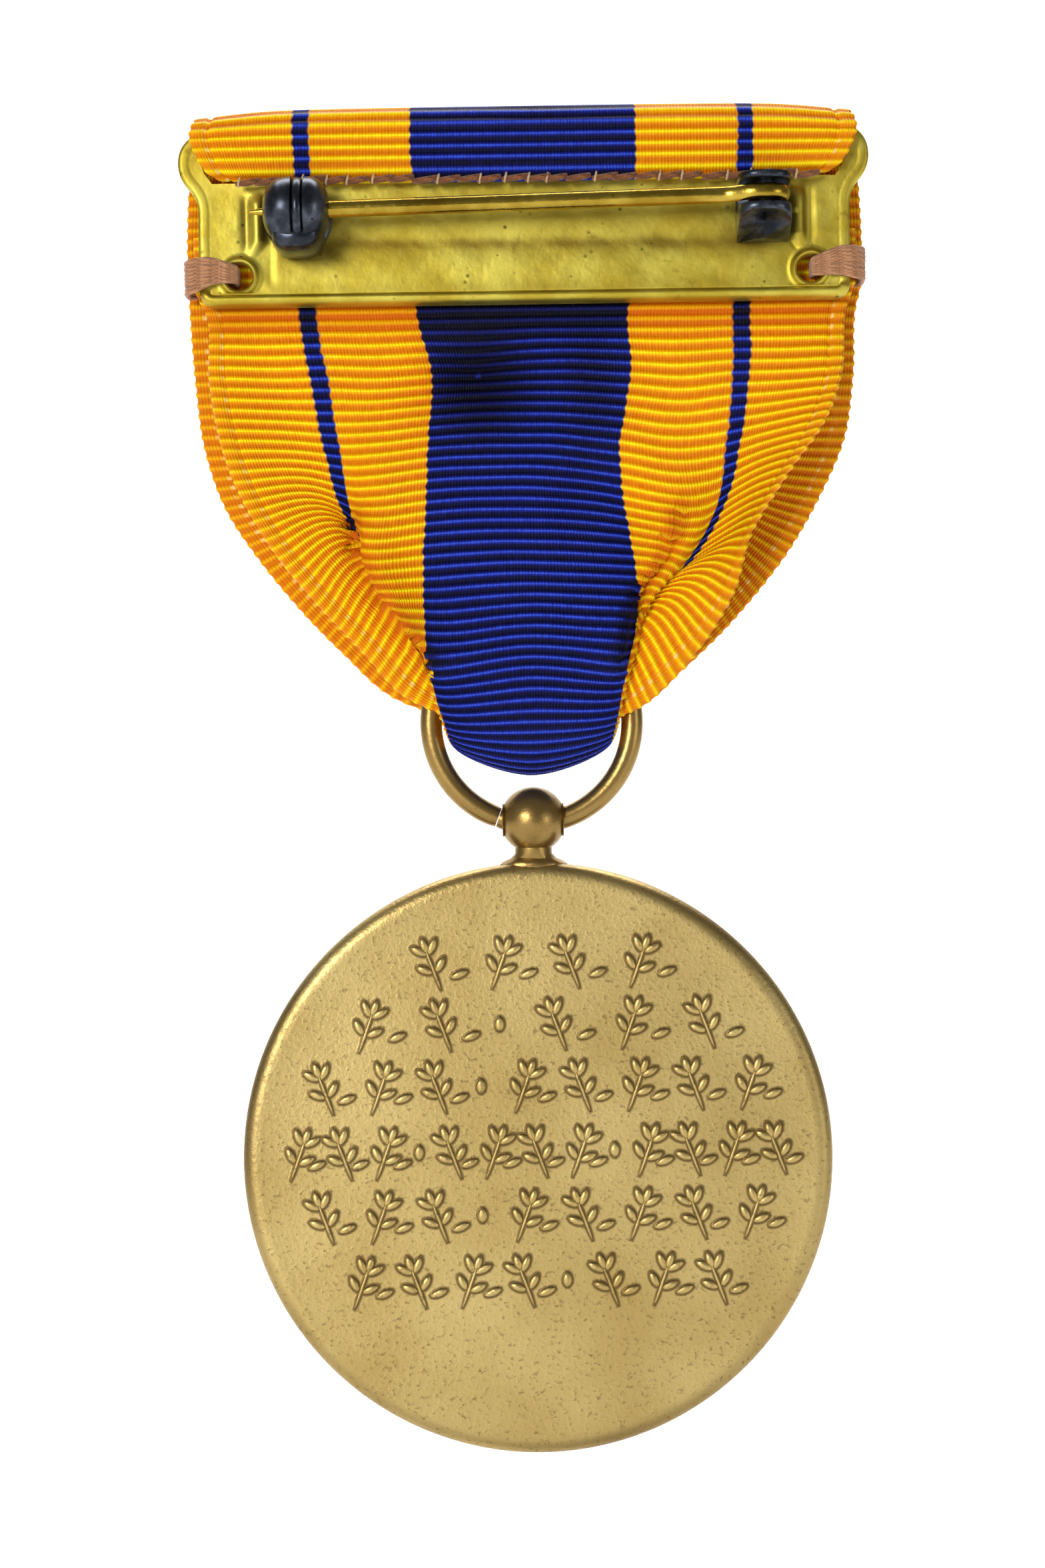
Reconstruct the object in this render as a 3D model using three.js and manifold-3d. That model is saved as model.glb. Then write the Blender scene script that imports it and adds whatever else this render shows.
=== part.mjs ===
// Service medal on a slot brooch: millimetres, +Z up, pin side facing -Y.
// The origin is on the back face of the brooch plate, at its middle.
import * as THREE from "three";
import { mergeVertices } from "three/addons/utils/BufferGeometryUtils.js";
import Module from "manifold-3d";

const wasm = await Module();
wasm.setup();

// ---- driving dimensions ----
const RIBBON_WIDTH = 35.4; // 1 3/8 inch ribbon
const RIBBON_THICKNESS = 0.45;
const DISC_DIAMETER = 31.6; // 1 1/4 inch planchet
const DISC_THICKNESS = 2.6;
const HANG_Y = 1.9; // middle of the ribbon, and the plane the ring and the disc hang in

const PLATE = { sheet: 0.5, half: 17.35, bottom: -5.05, top: 4.6, rim: 1.1 };
const EAR = { half: 18.4, low: 1.5, high: 2.7 };
const SLOT = { half: 17.8, low: 1.3, high: 2.9 };
const EYELET = { x: 15.2, z: -3.5, radius: 0.95 };
const RIB = { x: 14.38, low: -3.9, high: 0.75, radius: 0.45, rise: 0.3 };

const PIN = { y: -2.1, z: 0.1, radius: 0.48, tip: -14.6, hinge: 12.5, eye: 1.15, slope: 1.2 };
const CATCH = { x: -11.98, z: -0.41, radius: 1.8, half: 1.76, bore: 0.62, stalk: 1.25 };
const FOOT = { z: -0.6, radius: 1.75, rise: 0.75 };
const WHEEL = { x: -11.85, half: 0.28, radius: 1.65, gap: 0.06 };
const CHEEK = { half: 1.35, gap: 0.68, thin: 0.38, thick: 1.55, foot: 0.32 };
const RIVET_RADIUS = 0.4;
const TIE = { width: 1.2, thickness: 0.34, clear: 0.38 };
const SEAM = { from: -11.1, to: 14.3, y: -0.15, z: 1.31, radius: 0.12 };

const RING = { z: -27.4, radius: 5.41, wire: 0.585, butt: 0.02, buttAngle: -1.92 };
const BALL = { z: -32.6, radius: 1.78, bore: 0.79, boreZ: -32.68, neck: 1.2 };
const DISC_Z = -50.75;

// Half-width of the hanging ribbon at each height, from the plate down to the ring.
const DROP_OUTLINE = [
  [17.7, -5.9], [17.6, -9.0], [17.2, -12.0], [16.2, -15.0], [14.6, -17.8],
  [12.4, -20.7], [9.8, -23.5], [7.0, -26.0], [4.6, -27.4], [3.4, -28.9], [1.6, -29.8],
];
const DROP_DEPTH = { top: 0.72, ring: 2.1, ringZ: -21.5, bottom: -30.0 };
const DROP_HOLLOW = { top: 0.24, ring: 0.9, topZ: -5.2, bottom: -28.4 };

// ---- finishes ----
const BRASS = { color: 0xb9a13c, roughness: 0.3, metalness: 0.9 };
const GUNMETAL = { color: 0x34383c, roughness: 0.35, metalness: 0.8 };
const BRONZE = { color: 0x9c8650, roughness: 0.5, metalness: 0.8 };
const RIBBON = { color: 0xf2b418, roughness: 0.9, metalness: 0 };
const THREAD = { color: 0xa87a5c, roughness: 0.9, metalness: 0 };

// ---- solids ----

/** A closed geometry as a solid, with its shared vertices merged. */
function solid(geometry) {
  geometry.deleteAttribute("normal");
  geometry.deleteAttribute("uv");
  const merged = mergeVertices(geometry, 1e-5);
  return new wasm.Manifold(
    new wasm.Mesh({
      numProp: 3,
      vertProperties: merged.attributes.position.array,
      triVerts: new Uint32Array(merged.index.array),
    }),
  );
}

/** A solid's surface as a geometry. */
function surface(body) {
  const mesh = body.getMesh();
  const geometry = new THREE.BufferGeometry();
  geometry.setAttribute("position", new THREE.BufferAttribute(mesh.vertProperties, 3));
  geometry.setIndex(new THREE.BufferAttribute(mesh.triVerts, 1));
  return geometry.toNonIndexed();
}

/** A shape drawn in X and Z, made as thick as the span from y0 to y1. */
function alongY(shape, y0, y1, curveSegments = 12) {
  const geometry = new THREE.ExtrudeGeometry(shape, {
    depth: y1 - y0, bevelEnabled: false, curveSegments,
  });
  return geometry.rotateX(Math.PI / 2).translate(0, y1, 0);
}

/** A profile drawn in Y and Z, carried from x0 to x1. */
function alongX(shape, x0, x1, curveSegments = 10) {
  const geometry = new THREE.ExtrudeGeometry(shape, {
    depth: x1 - x0, bevelEnabled: false, curveSegments,
  });
  const turn = new THREE.Matrix4().makeBasis(
    new THREE.Vector3(0, 1, 0), new THREE.Vector3(0, 0, 1), new THREE.Vector3(1, 0, 0),
  );
  return geometry.applyMatrix4(turn).translate(x0, 0, 0);
}

/** A closed polygon through the given points. */
const polygon = (points) => new THREE.Shape(points.map(([a, b]) => new THREE.Vector2(a, b)));

/** A round hole for a shape. */
function roundHole(x, z, radius) {
  return new THREE.Path().absarc(x, z, radius, 0, 2 * Math.PI, true);
}

/** A round bar along X. */
function barX(x0, x1, y, z, radius, sides = 24) {
  const bar = new THREE.CylinderGeometry(radius, radius, x1 - x0, sides);
  return bar.rotateZ(Math.PI / 2).translate((x0 + x1) / 2, y, z);
}

/** A round bar along Y. */
function barY(x, y0, y1, z, radius, sides = 32) {
  return new THREE.CylinderGeometry(radius, radius, y1 - y0, sides).translate(x, (y0 + y1) / 2, z);
}

/** A round bar along Z. */
function barZ(x, y, z0, z1, radius, sides = 24) {
  const bar = new THREE.CylinderGeometry(radius, radius, z1 - z0, sides);
  return bar.rotateX(Math.PI / 2).translate(x, y, (z0 + z1) / 2);
}

/** A named mesh of one closed body. */
function part(name, body, finish) {
  const material = new THREE.MeshStandardMaterial(finish);
  const mesh = new THREE.Mesh(surface(body), material);
  mesh.name = name;
  return mesh;
}

// ---- brooch ----

/** The plate's outline in X and Z, one side after the other, with its slot and eyelets cut out. */
function plateShape() {
  const side = [
    [PLATE.half, PLATE.bottom], [PLATE.half, 0.2], [PLATE.half + 0.3, 0.75],
    [EAR.half - 0.15, 1.15], [EAR.half, EAR.low], [EAR.half, EAR.high],
    [EAR.half - 0.2, 3.4], [PLATE.half + 0.35, 4.2], [PLATE.half - 0.3, PLATE.top],
  ];
  const shape = polygon([...side, ...side.map(([x, z]) => [-x, z]).reverse()]);
  const slot = [
    [-SLOT.half, SLOT.low], [-SLOT.half, SLOT.high], [SLOT.half, SLOT.high], [SLOT.half, SLOT.low],
  ];
  shape.holes.push(polygon(slot));
  for (const x of [-EYELET.x, EYELET.x]) shape.holes.push(roundHole(x, EYELET.z, EYELET.radius));
  return shape;
}

/** Flat back, a rim turned in along the sides and the bottom, and two pressed ribs. */
function broochPlate() {
  let plate = solid(alongY(plateShape(), 0, PLATE.sheet));
  const inner = PLATE.half - PLATE.sheet;
  const floor = PLATE.bottom + PLATE.sheet;
  const rim = polygon([
    [-PLATE.half, 0], [-PLATE.half, PLATE.bottom], [PLATE.half, PLATE.bottom], [PLATE.half, 0],
    [inner, 0], [inner, floor], [-inner, floor], [-inner, 0],
  ]);
  plate = plate.add(solid(alongY(rim, PLATE.sheet / 2, PLATE.rim)));
  for (const x of [-RIB.x, RIB.x]) {
    const rib = solid(barZ(x, RIB.radius - RIB.rise, RIB.low, RIB.high, RIB.radius, 16));
    const reach = new THREE.BoxGeometry(2, 1.2, 6).translate(x, PLATE.sheet / 2 - 0.6, -1.5);
    plate = plate.add(rib.intersect(solid(reach)));
  }
  return part("brooch_plate", plate, BRASS);
}

// ---- pin, hinge and catch ----

/** Two round-ended cheeks on a foot: a thin upper one and a lower one that thickens to a wedge. */
function hingeBracket() {
  const outer = PIN.y - CHEEK.half;
  const round = new THREE.Shape();
  round.moveTo(-CHEEK.half, 0);
  round.lineTo(-CHEEK.half, -PIN.y);
  round.absarc(0, -PIN.y, CHEEK.half, Math.PI, 0, true);
  round.lineTo(CHEEK.half, 0);
  // drawn in X and depth, then stood up so that its depth runs to -Y
  const lobe = new THREE.ExtrudeGeometry(round, { depth: 6, bevelEnabled: false, curveSegments: 14 });
  const prism = solid(lobe.rotateX(Math.PI).translate(PIN.hinge, -0.04, PIN.z + 3));
  const [above, below] = [PIN.z + CHEEK.gap, PIN.z - CHEEK.gap];
  const wedge = polygon([
    [-0.04, below - CHEEK.thick], [-0.04, above + CHEEK.thin], [outer - 0.1, above + CHEEK.thin],
    [outer - 0.1, above], [-CHEEK.foot, above], [-CHEEK.foot, below], [outer - 0.1, below],
    [outer - 0.1, below - CHEEK.thin], [-0.9, below - CHEEK.thick + 0.1],
  ]);
  const profile = solid(alongX(wedge, PIN.hinge - 3, PIN.hinge + 3));
  const bore = solid(barZ(PIN.hinge, PIN.y, PIN.z - 3, PIN.z + 3, RIVET_RADIUS + 0.05));
  return part("hinge_bracket", prism.intersect(profile).subtract(bore), GUNMETAL);
}

/** The rivet that the pin turns with, reaching just through both cheeks. */
function hingeRivet() {
  const reach = CHEEK.gap + CHEEK.thin + 0.72;
  const shank = barZ(PIN.hinge, PIN.y, PIN.z - reach, PIN.z + reach, RIVET_RADIUS);
  return part("hinge_rivet", solid(shank), GUNMETAL);
}

/** Wire with a ground point, a flattened eye round the rivet and a short tail that stops it open. */
function pinStem() {
  const point = 1.6; // length of the ground point
  const reach = PIN.tip - PIN.hinge;
  const wire = [[0, reach], [PIN.radius, reach + point], [PIN.radius, -0.8], [0, -0.8]]
    .map(([r, x]) => new THREE.Vector2(r, x));
  const stem = new THREE.LatheGeometry(wire, 20).rotateZ(-Math.PI / 2);
  stem.rotateY(THREE.MathUtils.degToRad(-PIN.slope)).translate(PIN.hinge, PIN.y, PIN.z);
  const eye = barZ(PIN.hinge, PIN.y, PIN.z - 0.4, PIN.z + 0.4, PIN.eye, 32);
  const tail = polygon([
    [PIN.hinge + 0.62, PIN.y + 0.1], [PIN.hinge + 0.66, PIN.y - 0.5], [PIN.hinge + 1.3, PIN.y + 0.1],
    [PIN.hinge + 1.35, PIN.y + 1.0], [PIN.hinge + 0.95, PIN.y + 1.0], [PIN.hinge + 0.85, PIN.y + 0.5],
  ]);
  const leaf = new THREE.ExtrudeGeometry(tail, { depth: 0.7, bevelEnabled: false });
  const bore = barZ(PIN.hinge, PIN.y, PIN.z - 1, PIN.z + 1, RIVET_RADIUS + 0.05);
  const pin = solid(stem).add(solid(eye)).add(solid(leaf.translate(0, 0, PIN.z - 0.35)));
  return part("pin_stem", pin.subtract(solid(bore)), BRASS);
}

/** A round ball with its long axis along the pin. */
function catchBall() {
  const ball = new THREE.SphereGeometry(1, 36, 20).rotateZ(Math.PI / 2);
  return ball.scale(CATCH.half, CATCH.radius, CATCH.radius).translate(CATCH.x, PIN.y, CATCH.z);
}

/** A mouth from the bore up past the top of a round body, along the pin's length. */
function mouth(x0, x1) {
  const gap = new THREE.BoxGeometry(x1 - x0, 2 * CATCH.bore, 4);
  const bore = solid(barX(x0, x1, PIN.y, CATCH.z, CATCH.bore));
  return bore.add(solid(gap.translate((x0 + x1) / 2, PIN.y, CATCH.z + 2)));
}

/** Two domes on one foot, with the pin's bore, its mouth on top and the wheel's slot. */
function catchHousing() {
  const foot = barY(CATCH.x, -FOOT.rise, -0.04, FOOT.z, FOOT.radius, 32);
  const stalk = barY(CATCH.x, PIN.y, -0.3, CATCH.z, CATCH.stalk, 28);
  const slot = WHEEL.half + WHEEL.gap;
  const wheelSlot = barX(WHEEL.x - slot, WHEEL.x + slot, PIN.y, CATCH.z, WHEEL.radius + WHEEL.gap, 40);
  const outside = new THREE.BoxGeometry(2 * slot, 2.2, 6).translate(WHEEL.x, PIN.y - 1.1, CATCH.z);
  const cut = solid(wheelSlot).add(solid(outside)).add(mouth(CATCH.x - 3, CATCH.x + 3));
  const body = solid(catchBall()).add(solid(stalk)).add(solid(foot));
  return part("catch_housing", body.subtract(cut), GUNMETAL);
}

/** The C-shaped lock wheel round the pin, open at its top. */
function catchWheel() {
  const [x0, x1] = [WHEEL.x - WHEEL.half, WHEEL.x + WHEEL.half];
  const wheel = solid(barX(x0, x1, PIN.y, CATCH.z, WHEEL.radius, 40));
  return part("catch_wheel", wheel.subtract(mouth(x0 - 1, x1 + 1)), GUNMETAL);
}

// ---- ribbon ----

/** Ribbon over the front, round the top bar, down the back and in through the slot. */
function ribbonWrap() {
  const front = HANG_Y + 0.25; // inner face of the front layer
  const wall = RIBBON_THICKNESS;
  const hem = -4.8; // where the bend at the plate's lower edge begins
  const shape = new THREE.Shape();
  shape.moveTo(front + wall, hem);
  shape.lineTo(front + wall, 4.0);
  shape.bezierCurveTo(front + wall, 5.0, 1.8, 5.35, 0.9, 5.35);
  shape.bezierCurveTo(0.0, 5.35, -0.85, 5.0, -0.85, 4.2);
  shape.lineTo(-0.85, 2.2);
  shape.bezierCurveTo(-0.85, 1.6, -0.4, 1.45, 0.2, 1.45);
  shape.lineTo(0.85, 1.45);
  shape.lineTo(0.85, 0.1);
  shape.lineTo(0.85 + wall, 0.1);
  shape.lineTo(0.85 + wall, 1.45 + wall);
  shape.lineTo(0.2, 1.45 + wall);
  shape.bezierCurveTo(-0.2, 1.45 + wall, -0.85 + wall, 1.45 + wall, -0.85 + wall, 2.3);
  shape.lineTo(-0.85 + wall, 4.2);
  shape.bezierCurveTo(-0.85 + wall, 4.8, 0.0, 4.9, 0.9, 4.9);
  shape.bezierCurveTo(1.6, 4.9, front, 4.7, front, 4.0);
  shape.lineTo(front, hem);
  const half = RIBBON_WIDTH / 2;
  return part("ribbon_wrap", solid(alongX(shape, -half, half, 6)), RIBBON);
}

/** The ribbon's back end, sewn behind the plate's rim and holed for the tie threads. */
function ribbonTail() {
  const half = RIBBON_WIDTH / 2;
  const shape = polygon([[-half, -5.2], [half, -5.2], [half, -1.2], [-half, -1.2]]);
  for (const x of [-EYELET.x, EYELET.x]) shape.holes.push(roundHole(x, EYELET.z, 0.8));
  const low = PLATE.rim + 0.05;
  return part("ribbon_tail", solid(alongY(shape, low, low + 0.4)), RIBBON);
}

/** A U of ribbon seen along X: two layers, wide apart at the ring and closed below it. */
function dropProfile(depth, topZ, bottom, round) {
  const shape = new THREE.Shape();
  const low = bottom + round;
  shape.moveTo(HANG_Y + depth.top, topZ);
  shape.lineTo(HANG_Y - depth.top, topZ);
  shape.lineTo(HANG_Y - depth.ring, DROP_DEPTH.ringZ);
  shape.lineTo(HANG_Y - depth.ring * 0.92, low);
  shape.quadraticCurveTo(HANG_Y - depth.ring * 0.85, bottom, HANG_Y, bottom);
  shape.quadraticCurveTo(HANG_Y + depth.ring * 0.85, bottom, HANG_Y + depth.ring * 0.92, low);
  shape.lineTo(HANG_Y + depth.ring, DROP_DEPTH.ringZ);
  return shape;
}

/** The hanging loop: its outline from in front, its U from the side, round the ring's top. */
function ribbonDrop() {
  const half = RIBBON_WIDTH / 2 + 1;
  const outline = polygon([...DROP_OUTLINE, ...DROP_OUTLINE.map(([x, z]) => [-x, z]).reverse()]);
  const outer = solid(alongX(dropProfile(DROP_DEPTH, -5.4, DROP_DEPTH.bottom, 1.6), -half, half));
  const hollow = dropProfile(DROP_HOLLOW, DROP_HOLLOW.topZ, DROP_HOLLOW.bottom, 0.6);
  const inner = solid(alongX(hollow, -half - 1, half + 1));
  const body = solid(alongY(outline, HANG_Y - 5, HANG_Y + 5)).intersect(outer).subtract(inner);
  return part("ribbon_drop", body, RIBBON);
}

/** The row of stitches along the wrap's lower edge, as one plain round cord. */
function seamThread() {
  return part("seam_thread", solid(barX(SEAM.from, SEAM.to, SEAM.y, SEAM.z, SEAM.radius, 10)), THREAD);
}

/** A rectangle with round corners, as a shape or as a hole in one. */
function roundedRectangle(Outline, x0, y0, x1, y1, corner) {
  const outline = new Outline();
  outline.moveTo(x0 + corner, y0);
  outline.lineTo(x1 - corner, y0).quadraticCurveTo(x1, y0, x1, y0 + corner);
  outline.lineTo(x1, y1 - corner).quadraticCurveTo(x1, y1, x1 - corner, y1);
  outline.lineTo(x0 + corner, y1).quadraticCurveTo(x0, y1, x0, y1 - corner);
  outline.lineTo(x0, y0 + corner).quadraticCurveTo(x0, y0, x0 + corner, y0);
  return outline;
}

/** A flat thread bundle through an eyelet, out round the plate's edge and back between the layers. */
function tieThread(name, side) {
  const [x0, x1] = [side * EYELET.x, side * (RIBBON_WIDTH / 2 + TIE.clear)].sort((a, b) => a - b);
  const [y0, y1] = [-TIE.clear, HANG_Y - 0.02];
  const t = TIE.thickness / 2;
  const loop = roundedRectangle(THREE.Shape, x0 - t, y0 - t, x1 + t, y1 + t, 0.4);
  loop.holes.push(roundedRectangle(THREE.Path, x0 + t, y0 + t, x1 - t, y1 - t, 0.15));
  const band = new THREE.ExtrudeGeometry(loop, {
    depth: TIE.width, bevelEnabled: false, curveSegments: 4,
  });
  return part(name, solid(band.translate(0, 0, EYELET.z - TIE.width / 2)), THREAD);
}

// ---- medal ----

/** Round wire jump ring with a fine butt joint. */
function suspensionRing() {
  const torus = new THREE.TorusGeometry(RING.radius, RING.wire, 14, 72).rotateX(Math.PI / 2);
  const cut = new THREE.BoxGeometry(3, 3, RING.butt).translate(RING.radius, 0, 0);
  const ring = solid(torus).subtract(solid(cut.rotateY(-RING.buttAngle)));
  return part("suspension_ring", ring.translate([0, HANG_Y, RING.z]), BRONZE);
}

/** Drilled ball on a flared neck that is soldered to the disc's edge. */
function suspensionBall() {
  const edge = DISC_Z + DISC_DIAMETER / 2;
  const neck = [
    [0, -0.2], [BALL.neck, -0.2], [BALL.neck - 0.15, 0.3], [BALL.neck, 0.9], [0, 1.6],
  ].map(([r, z]) => new THREE.Vector2(r, z));
  const stem = new THREE.LatheGeometry(neck, 32).rotateX(Math.PI / 2).translate(0, HANG_Y, edge);
  const sphere = new THREE.SphereGeometry(BALL.radius, 32, 20).translate(0, HANG_Y, BALL.z);
  const bore = barX(-3, 3, HANG_Y, BALL.boreZ, BALL.bore, 28);
  const body = solid(sphere).add(solid(stem)).subtract(solid(bore)).subtract(discSolid(0.02));
  return part("suspension_ball", body, BRONZE);
}

/** The planchet's solid, grown by a margin: flat fields inside low rounded rims. */
function discSolid(margin = 0) {
  const [r, h] = [DISC_DIAMETER / 2 + margin, DISC_THICKNESS / 2 + margin];
  const half = [[0, h - 0.15], [r - 1.1, h - 0.15], [r - 0.9, h], [r - 0.35, h], [r, h - 0.35]];
  const profile = [...half.map(([a, b]) => [a, -b]), ...half.reverse()];
  const points = profile.map(([a, b]) => new THREE.Vector2(a, b));
  return solid(new THREE.LatheGeometry(points, 96)).translate([0, HANG_Y, DISC_Z]);
}

/** The struck disc. */
const medalDisc = () => part("medal_disc", discSolid(), BRONZE);

const medal = new THREE.Group();
medal.add(
  broochPlate(), hingeBracket(), hingeRivet(), pinStem(), catchHousing(), catchWheel(),
  ribbonWrap(), ribbonTail(), ribbonDrop(), seamThread(),
  tieThread("tie_thread_left", -1), tieThread("tie_thread_right", 1),
  suspensionRing(), suspensionBall(), medalDisc(),
);

export default medal;
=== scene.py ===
"""A military service medal: a folded ribbon on a pin brooch, with its ring, ball and bronze disc.

Every size is in millimetres until a mesh is written, and every piece lies in the frame of the CAD model:
+X towards the pin's hinge, +Y towards the obverse, +Z up, with the brooch's back in the plane y = 0.
"""

from __future__ import annotations

import logging
import math
from dataclasses import dataclass, field
from enum import Enum

import bpy
import numpy as np
from mathutils import Matrix

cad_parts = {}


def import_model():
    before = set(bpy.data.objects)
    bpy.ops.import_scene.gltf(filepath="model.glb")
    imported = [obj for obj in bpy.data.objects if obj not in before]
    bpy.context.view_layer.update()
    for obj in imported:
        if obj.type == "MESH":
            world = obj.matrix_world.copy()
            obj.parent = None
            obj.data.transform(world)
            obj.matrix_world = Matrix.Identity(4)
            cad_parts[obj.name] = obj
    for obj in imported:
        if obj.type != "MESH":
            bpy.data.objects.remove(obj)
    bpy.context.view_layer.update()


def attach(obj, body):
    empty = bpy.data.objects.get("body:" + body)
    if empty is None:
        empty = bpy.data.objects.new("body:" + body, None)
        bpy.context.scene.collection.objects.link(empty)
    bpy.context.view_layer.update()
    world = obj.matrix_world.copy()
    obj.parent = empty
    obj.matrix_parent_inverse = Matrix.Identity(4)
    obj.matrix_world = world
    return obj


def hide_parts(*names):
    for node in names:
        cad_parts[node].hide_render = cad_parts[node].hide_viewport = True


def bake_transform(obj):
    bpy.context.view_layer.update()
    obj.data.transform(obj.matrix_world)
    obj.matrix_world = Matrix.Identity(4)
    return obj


LOG = logging.getLogger("medal")
MM = 0.001
TAU = 2 * math.pi
Array = np.ndarray
Point = tuple[float, float, float]


class Slot(Enum):
    """The material slots' names."""

    BRASS_PLATE = "brass_plate"
    BRASS_WIRE = "brass_wire"
    BLACKENED_STEEL = "blackened_steel"
    BRONZE = "bronze"
    BRONZE_RING = "bronze_ring"
    RIBBON = "ribbon"
    THREAD = "thread"


class Side(Enum):
    """The two sides of the object: left is towards -X."""

    LEFT = -1
    RIGHT = 1


# ---------------------------------------------------------------------------- shapes


def smooth(t: Array, knots: Array, values: Array) -> Array:
    """A smooth curve through points: cubic pieces whose slope at a knot is a mean of the slopes beside it.

    Args:
        t: where to read the curve, any shape (k,).
        knots: rising positions of the given values, shape (n,).
        values: the values, shape (n, ...).

    Returns:
        The curve's values at t, shape (k, ...).
    """
    knots, values = np.asarray(knots, float), np.asarray(values, float)
    wide = (slice(None),) + (None,) * (values.ndim - 1)
    gap = np.diff(knots)
    rise = np.diff(values, axis=0) / gap[wide]
    inner = (rise[:-1] * gap[1:][wide] + rise[1:] * gap[:-1][wide]) / (gap[1:] + gap[:-1])[wide]
    slope = np.concatenate([rise[:1], inner, rise[-1:]])
    i = np.clip(np.searchsorted(knots, t, side="right") - 1, 0, len(gap) - 1)
    h = gap[i][wide]
    x = ((np.clip(t, knots[0], knots[-1]) - knots[i]) / gap[i])[wide]
    return (
        (2 * x**3 - 3 * x**2 + 1) * values[i]
        + (x**3 - 2 * x**2 + x) * h * slope[i]
        + (3 * x**2 - 2 * x**3) * values[i + 1]
        + (x**3 - x**2) * h * slope[i + 1]
    )


def step(edge0: float, edge1: float, x: Array) -> Array:
    """The smooth step 3t^2 - 2t^3 from edge0 to edge1."""
    t = np.clip((x - edge0) / (edge1 - edge0), 0, 1)
    return t * t * (3 - 2 * t)


def unit(v: Array) -> Array:
    """Vectors scaled to length one along their last axis."""
    return v / np.maximum(np.linalg.norm(v, axis=-1, keepdims=True), 1e-12)


def normals(grid: Array) -> Array:
    """The unit normals of a grid of points: the cross product of its two differences."""
    return unit(np.cross(np.gradient(grid, axis=0), np.gradient(grid, axis=1)))


def ripple(x: Array, seed: int, octaves: int = 4) -> Array:
    """A seeded sum of sines between about -1 and 1, each octave 1.9 times as quick and 0.6 as strong."""
    draw = np.random.default_rng(seed).uniform(0, TAU, octaves)
    waves = [0.6**k * np.sin(1.9**k * x + draw[k]) for k in range(octaves)]
    return sum(waves) / sum(0.6**k for k in range(octaves))


def turned(profile: Array, centre: Point, axis: str, count: int = 64) -> Array:
    """A turned surface: each (radius, height) of a profile carried once round an axis.

    Args:
        profile: (n, 2) of radius and height along the axis.
        centre: the axis's foot.
        axis: "x", "y" or "z".
        count: the number of facets round the axis.

    Returns:
        A grid (n, count + 1, 3), the last column lying on the first.
    """
    a = np.linspace(0, TAU, count + 1)
    r, h = np.asarray(profile, float).T
    grid = np.empty((len(r), count + 1, 3))
    k = "xyz".index(axis)
    grid[..., k] = h[:, None]
    grid[..., (k + 1) % 3] = r[:, None] * np.cos(a)
    grid[..., (k + 2) % 3] = r[:, None] * np.sin(a)
    return grid + np.array(centre)


def tube(
    path: Array, radius: float | Array, count: int = 16, up: Point = (0, 1, 0), capped: bool = True
) -> Array:
    """A ring of points carried along a path, square to it.

    Args:
        path: (n, 3) centre line.
        radius: one radius, or one for each point of the path.
        count: the number of facets round the path.
        up: a direction that is never along the path, which sets the ring's second axis.
        capped: whether the ends are drawn in to a point.

    Returns:
        A grid (n, count + 1, 3), or (n + 2, ...) with its caps.
    """
    path = np.asarray(path, float)
    along = unit(np.gradient(path, axis=0))
    side = unit(np.cross(along, np.array(up, float)))
    top = np.cross(side, along)
    r = np.broadcast_to(np.asarray(radius, float), (len(path),))
    if capped:
        path, side, top = (np.concatenate([v[:1], v, v[-1:]]) for v in (path, side, top))
        r = np.concatenate([[0.0], r, [0.0]])
    a = np.linspace(0, TAU, count + 1)[None, :, None]
    ring = np.cos(a) * side[:, None] + np.sin(a) * top[:, None]
    return path[:, None] + r[:, None, None] * ring


def rounded(points: list[tuple[float, float]], radius: float | list[float], steps: int = 6) -> Array:
    """A closed outline with its corners rounded: each corner is a quadratic curve between its two sides.

    Args:
        points: the corners in order.
        radius: how far from a corner its curve starts, one for all or one each.
        steps: points in each curve, less one.

    Returns:
        (n, 2) points, the last lying on the first.
    """
    p = np.array(points, float)
    r = np.broadcast_to(np.asarray(radius, float), (len(p),))[:, None]
    start = p + unit(np.roll(p, 1, 0) - p) * r
    end = p + unit(np.roll(p, -1, 0) - p) * r
    t = np.linspace(0, 1, steps + 1)[None, :, None]
    curve = (1 - t) ** 2 * start[:, None] + 2 * t * (1 - t) * p[:, None] + t**2 * end[:, None]
    flat = curve.reshape(-1, 2)
    return np.concatenate([flat, flat[:1]])


def slab(outline: Array, levels: list[tuple[float, float]]) -> Array:
    """A closed block: an outline drawn at each level, shrunk towards its middle, and its two ends closed.

    Args:
        outline: (n, 2) closed outline.
        levels: (height, inset) pairs from one end to the other.

    Returns:
        A grid (levels + 2, n, 3) with the outline's two axes first and the height last.
    """
    middle = (outline.min(0) + outline.max(0)) / 2
    half = (outline.max(0) - outline.min(0)) / 2
    inset = np.array([max(half) * 2] + [i for _, i in levels] + [max(half) * 2])
    height = np.array([levels[0][0]] + [h for h, _ in levels] + [levels[-1][0]])
    scale = np.clip(1 - inset[:, None] / half, 0, 1)
    flat = middle + (outline - middle)[None] * scale[:, None]
    return np.concatenate([flat, np.broadcast_to(height[:, None, None], flat.shape[:2] + (1,))], axis=-1)


# ---------------------------------------------------------------------------- meshes


WELD = 1e-5  # how close two points lie, in millimetres, when they are taken as one


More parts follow.
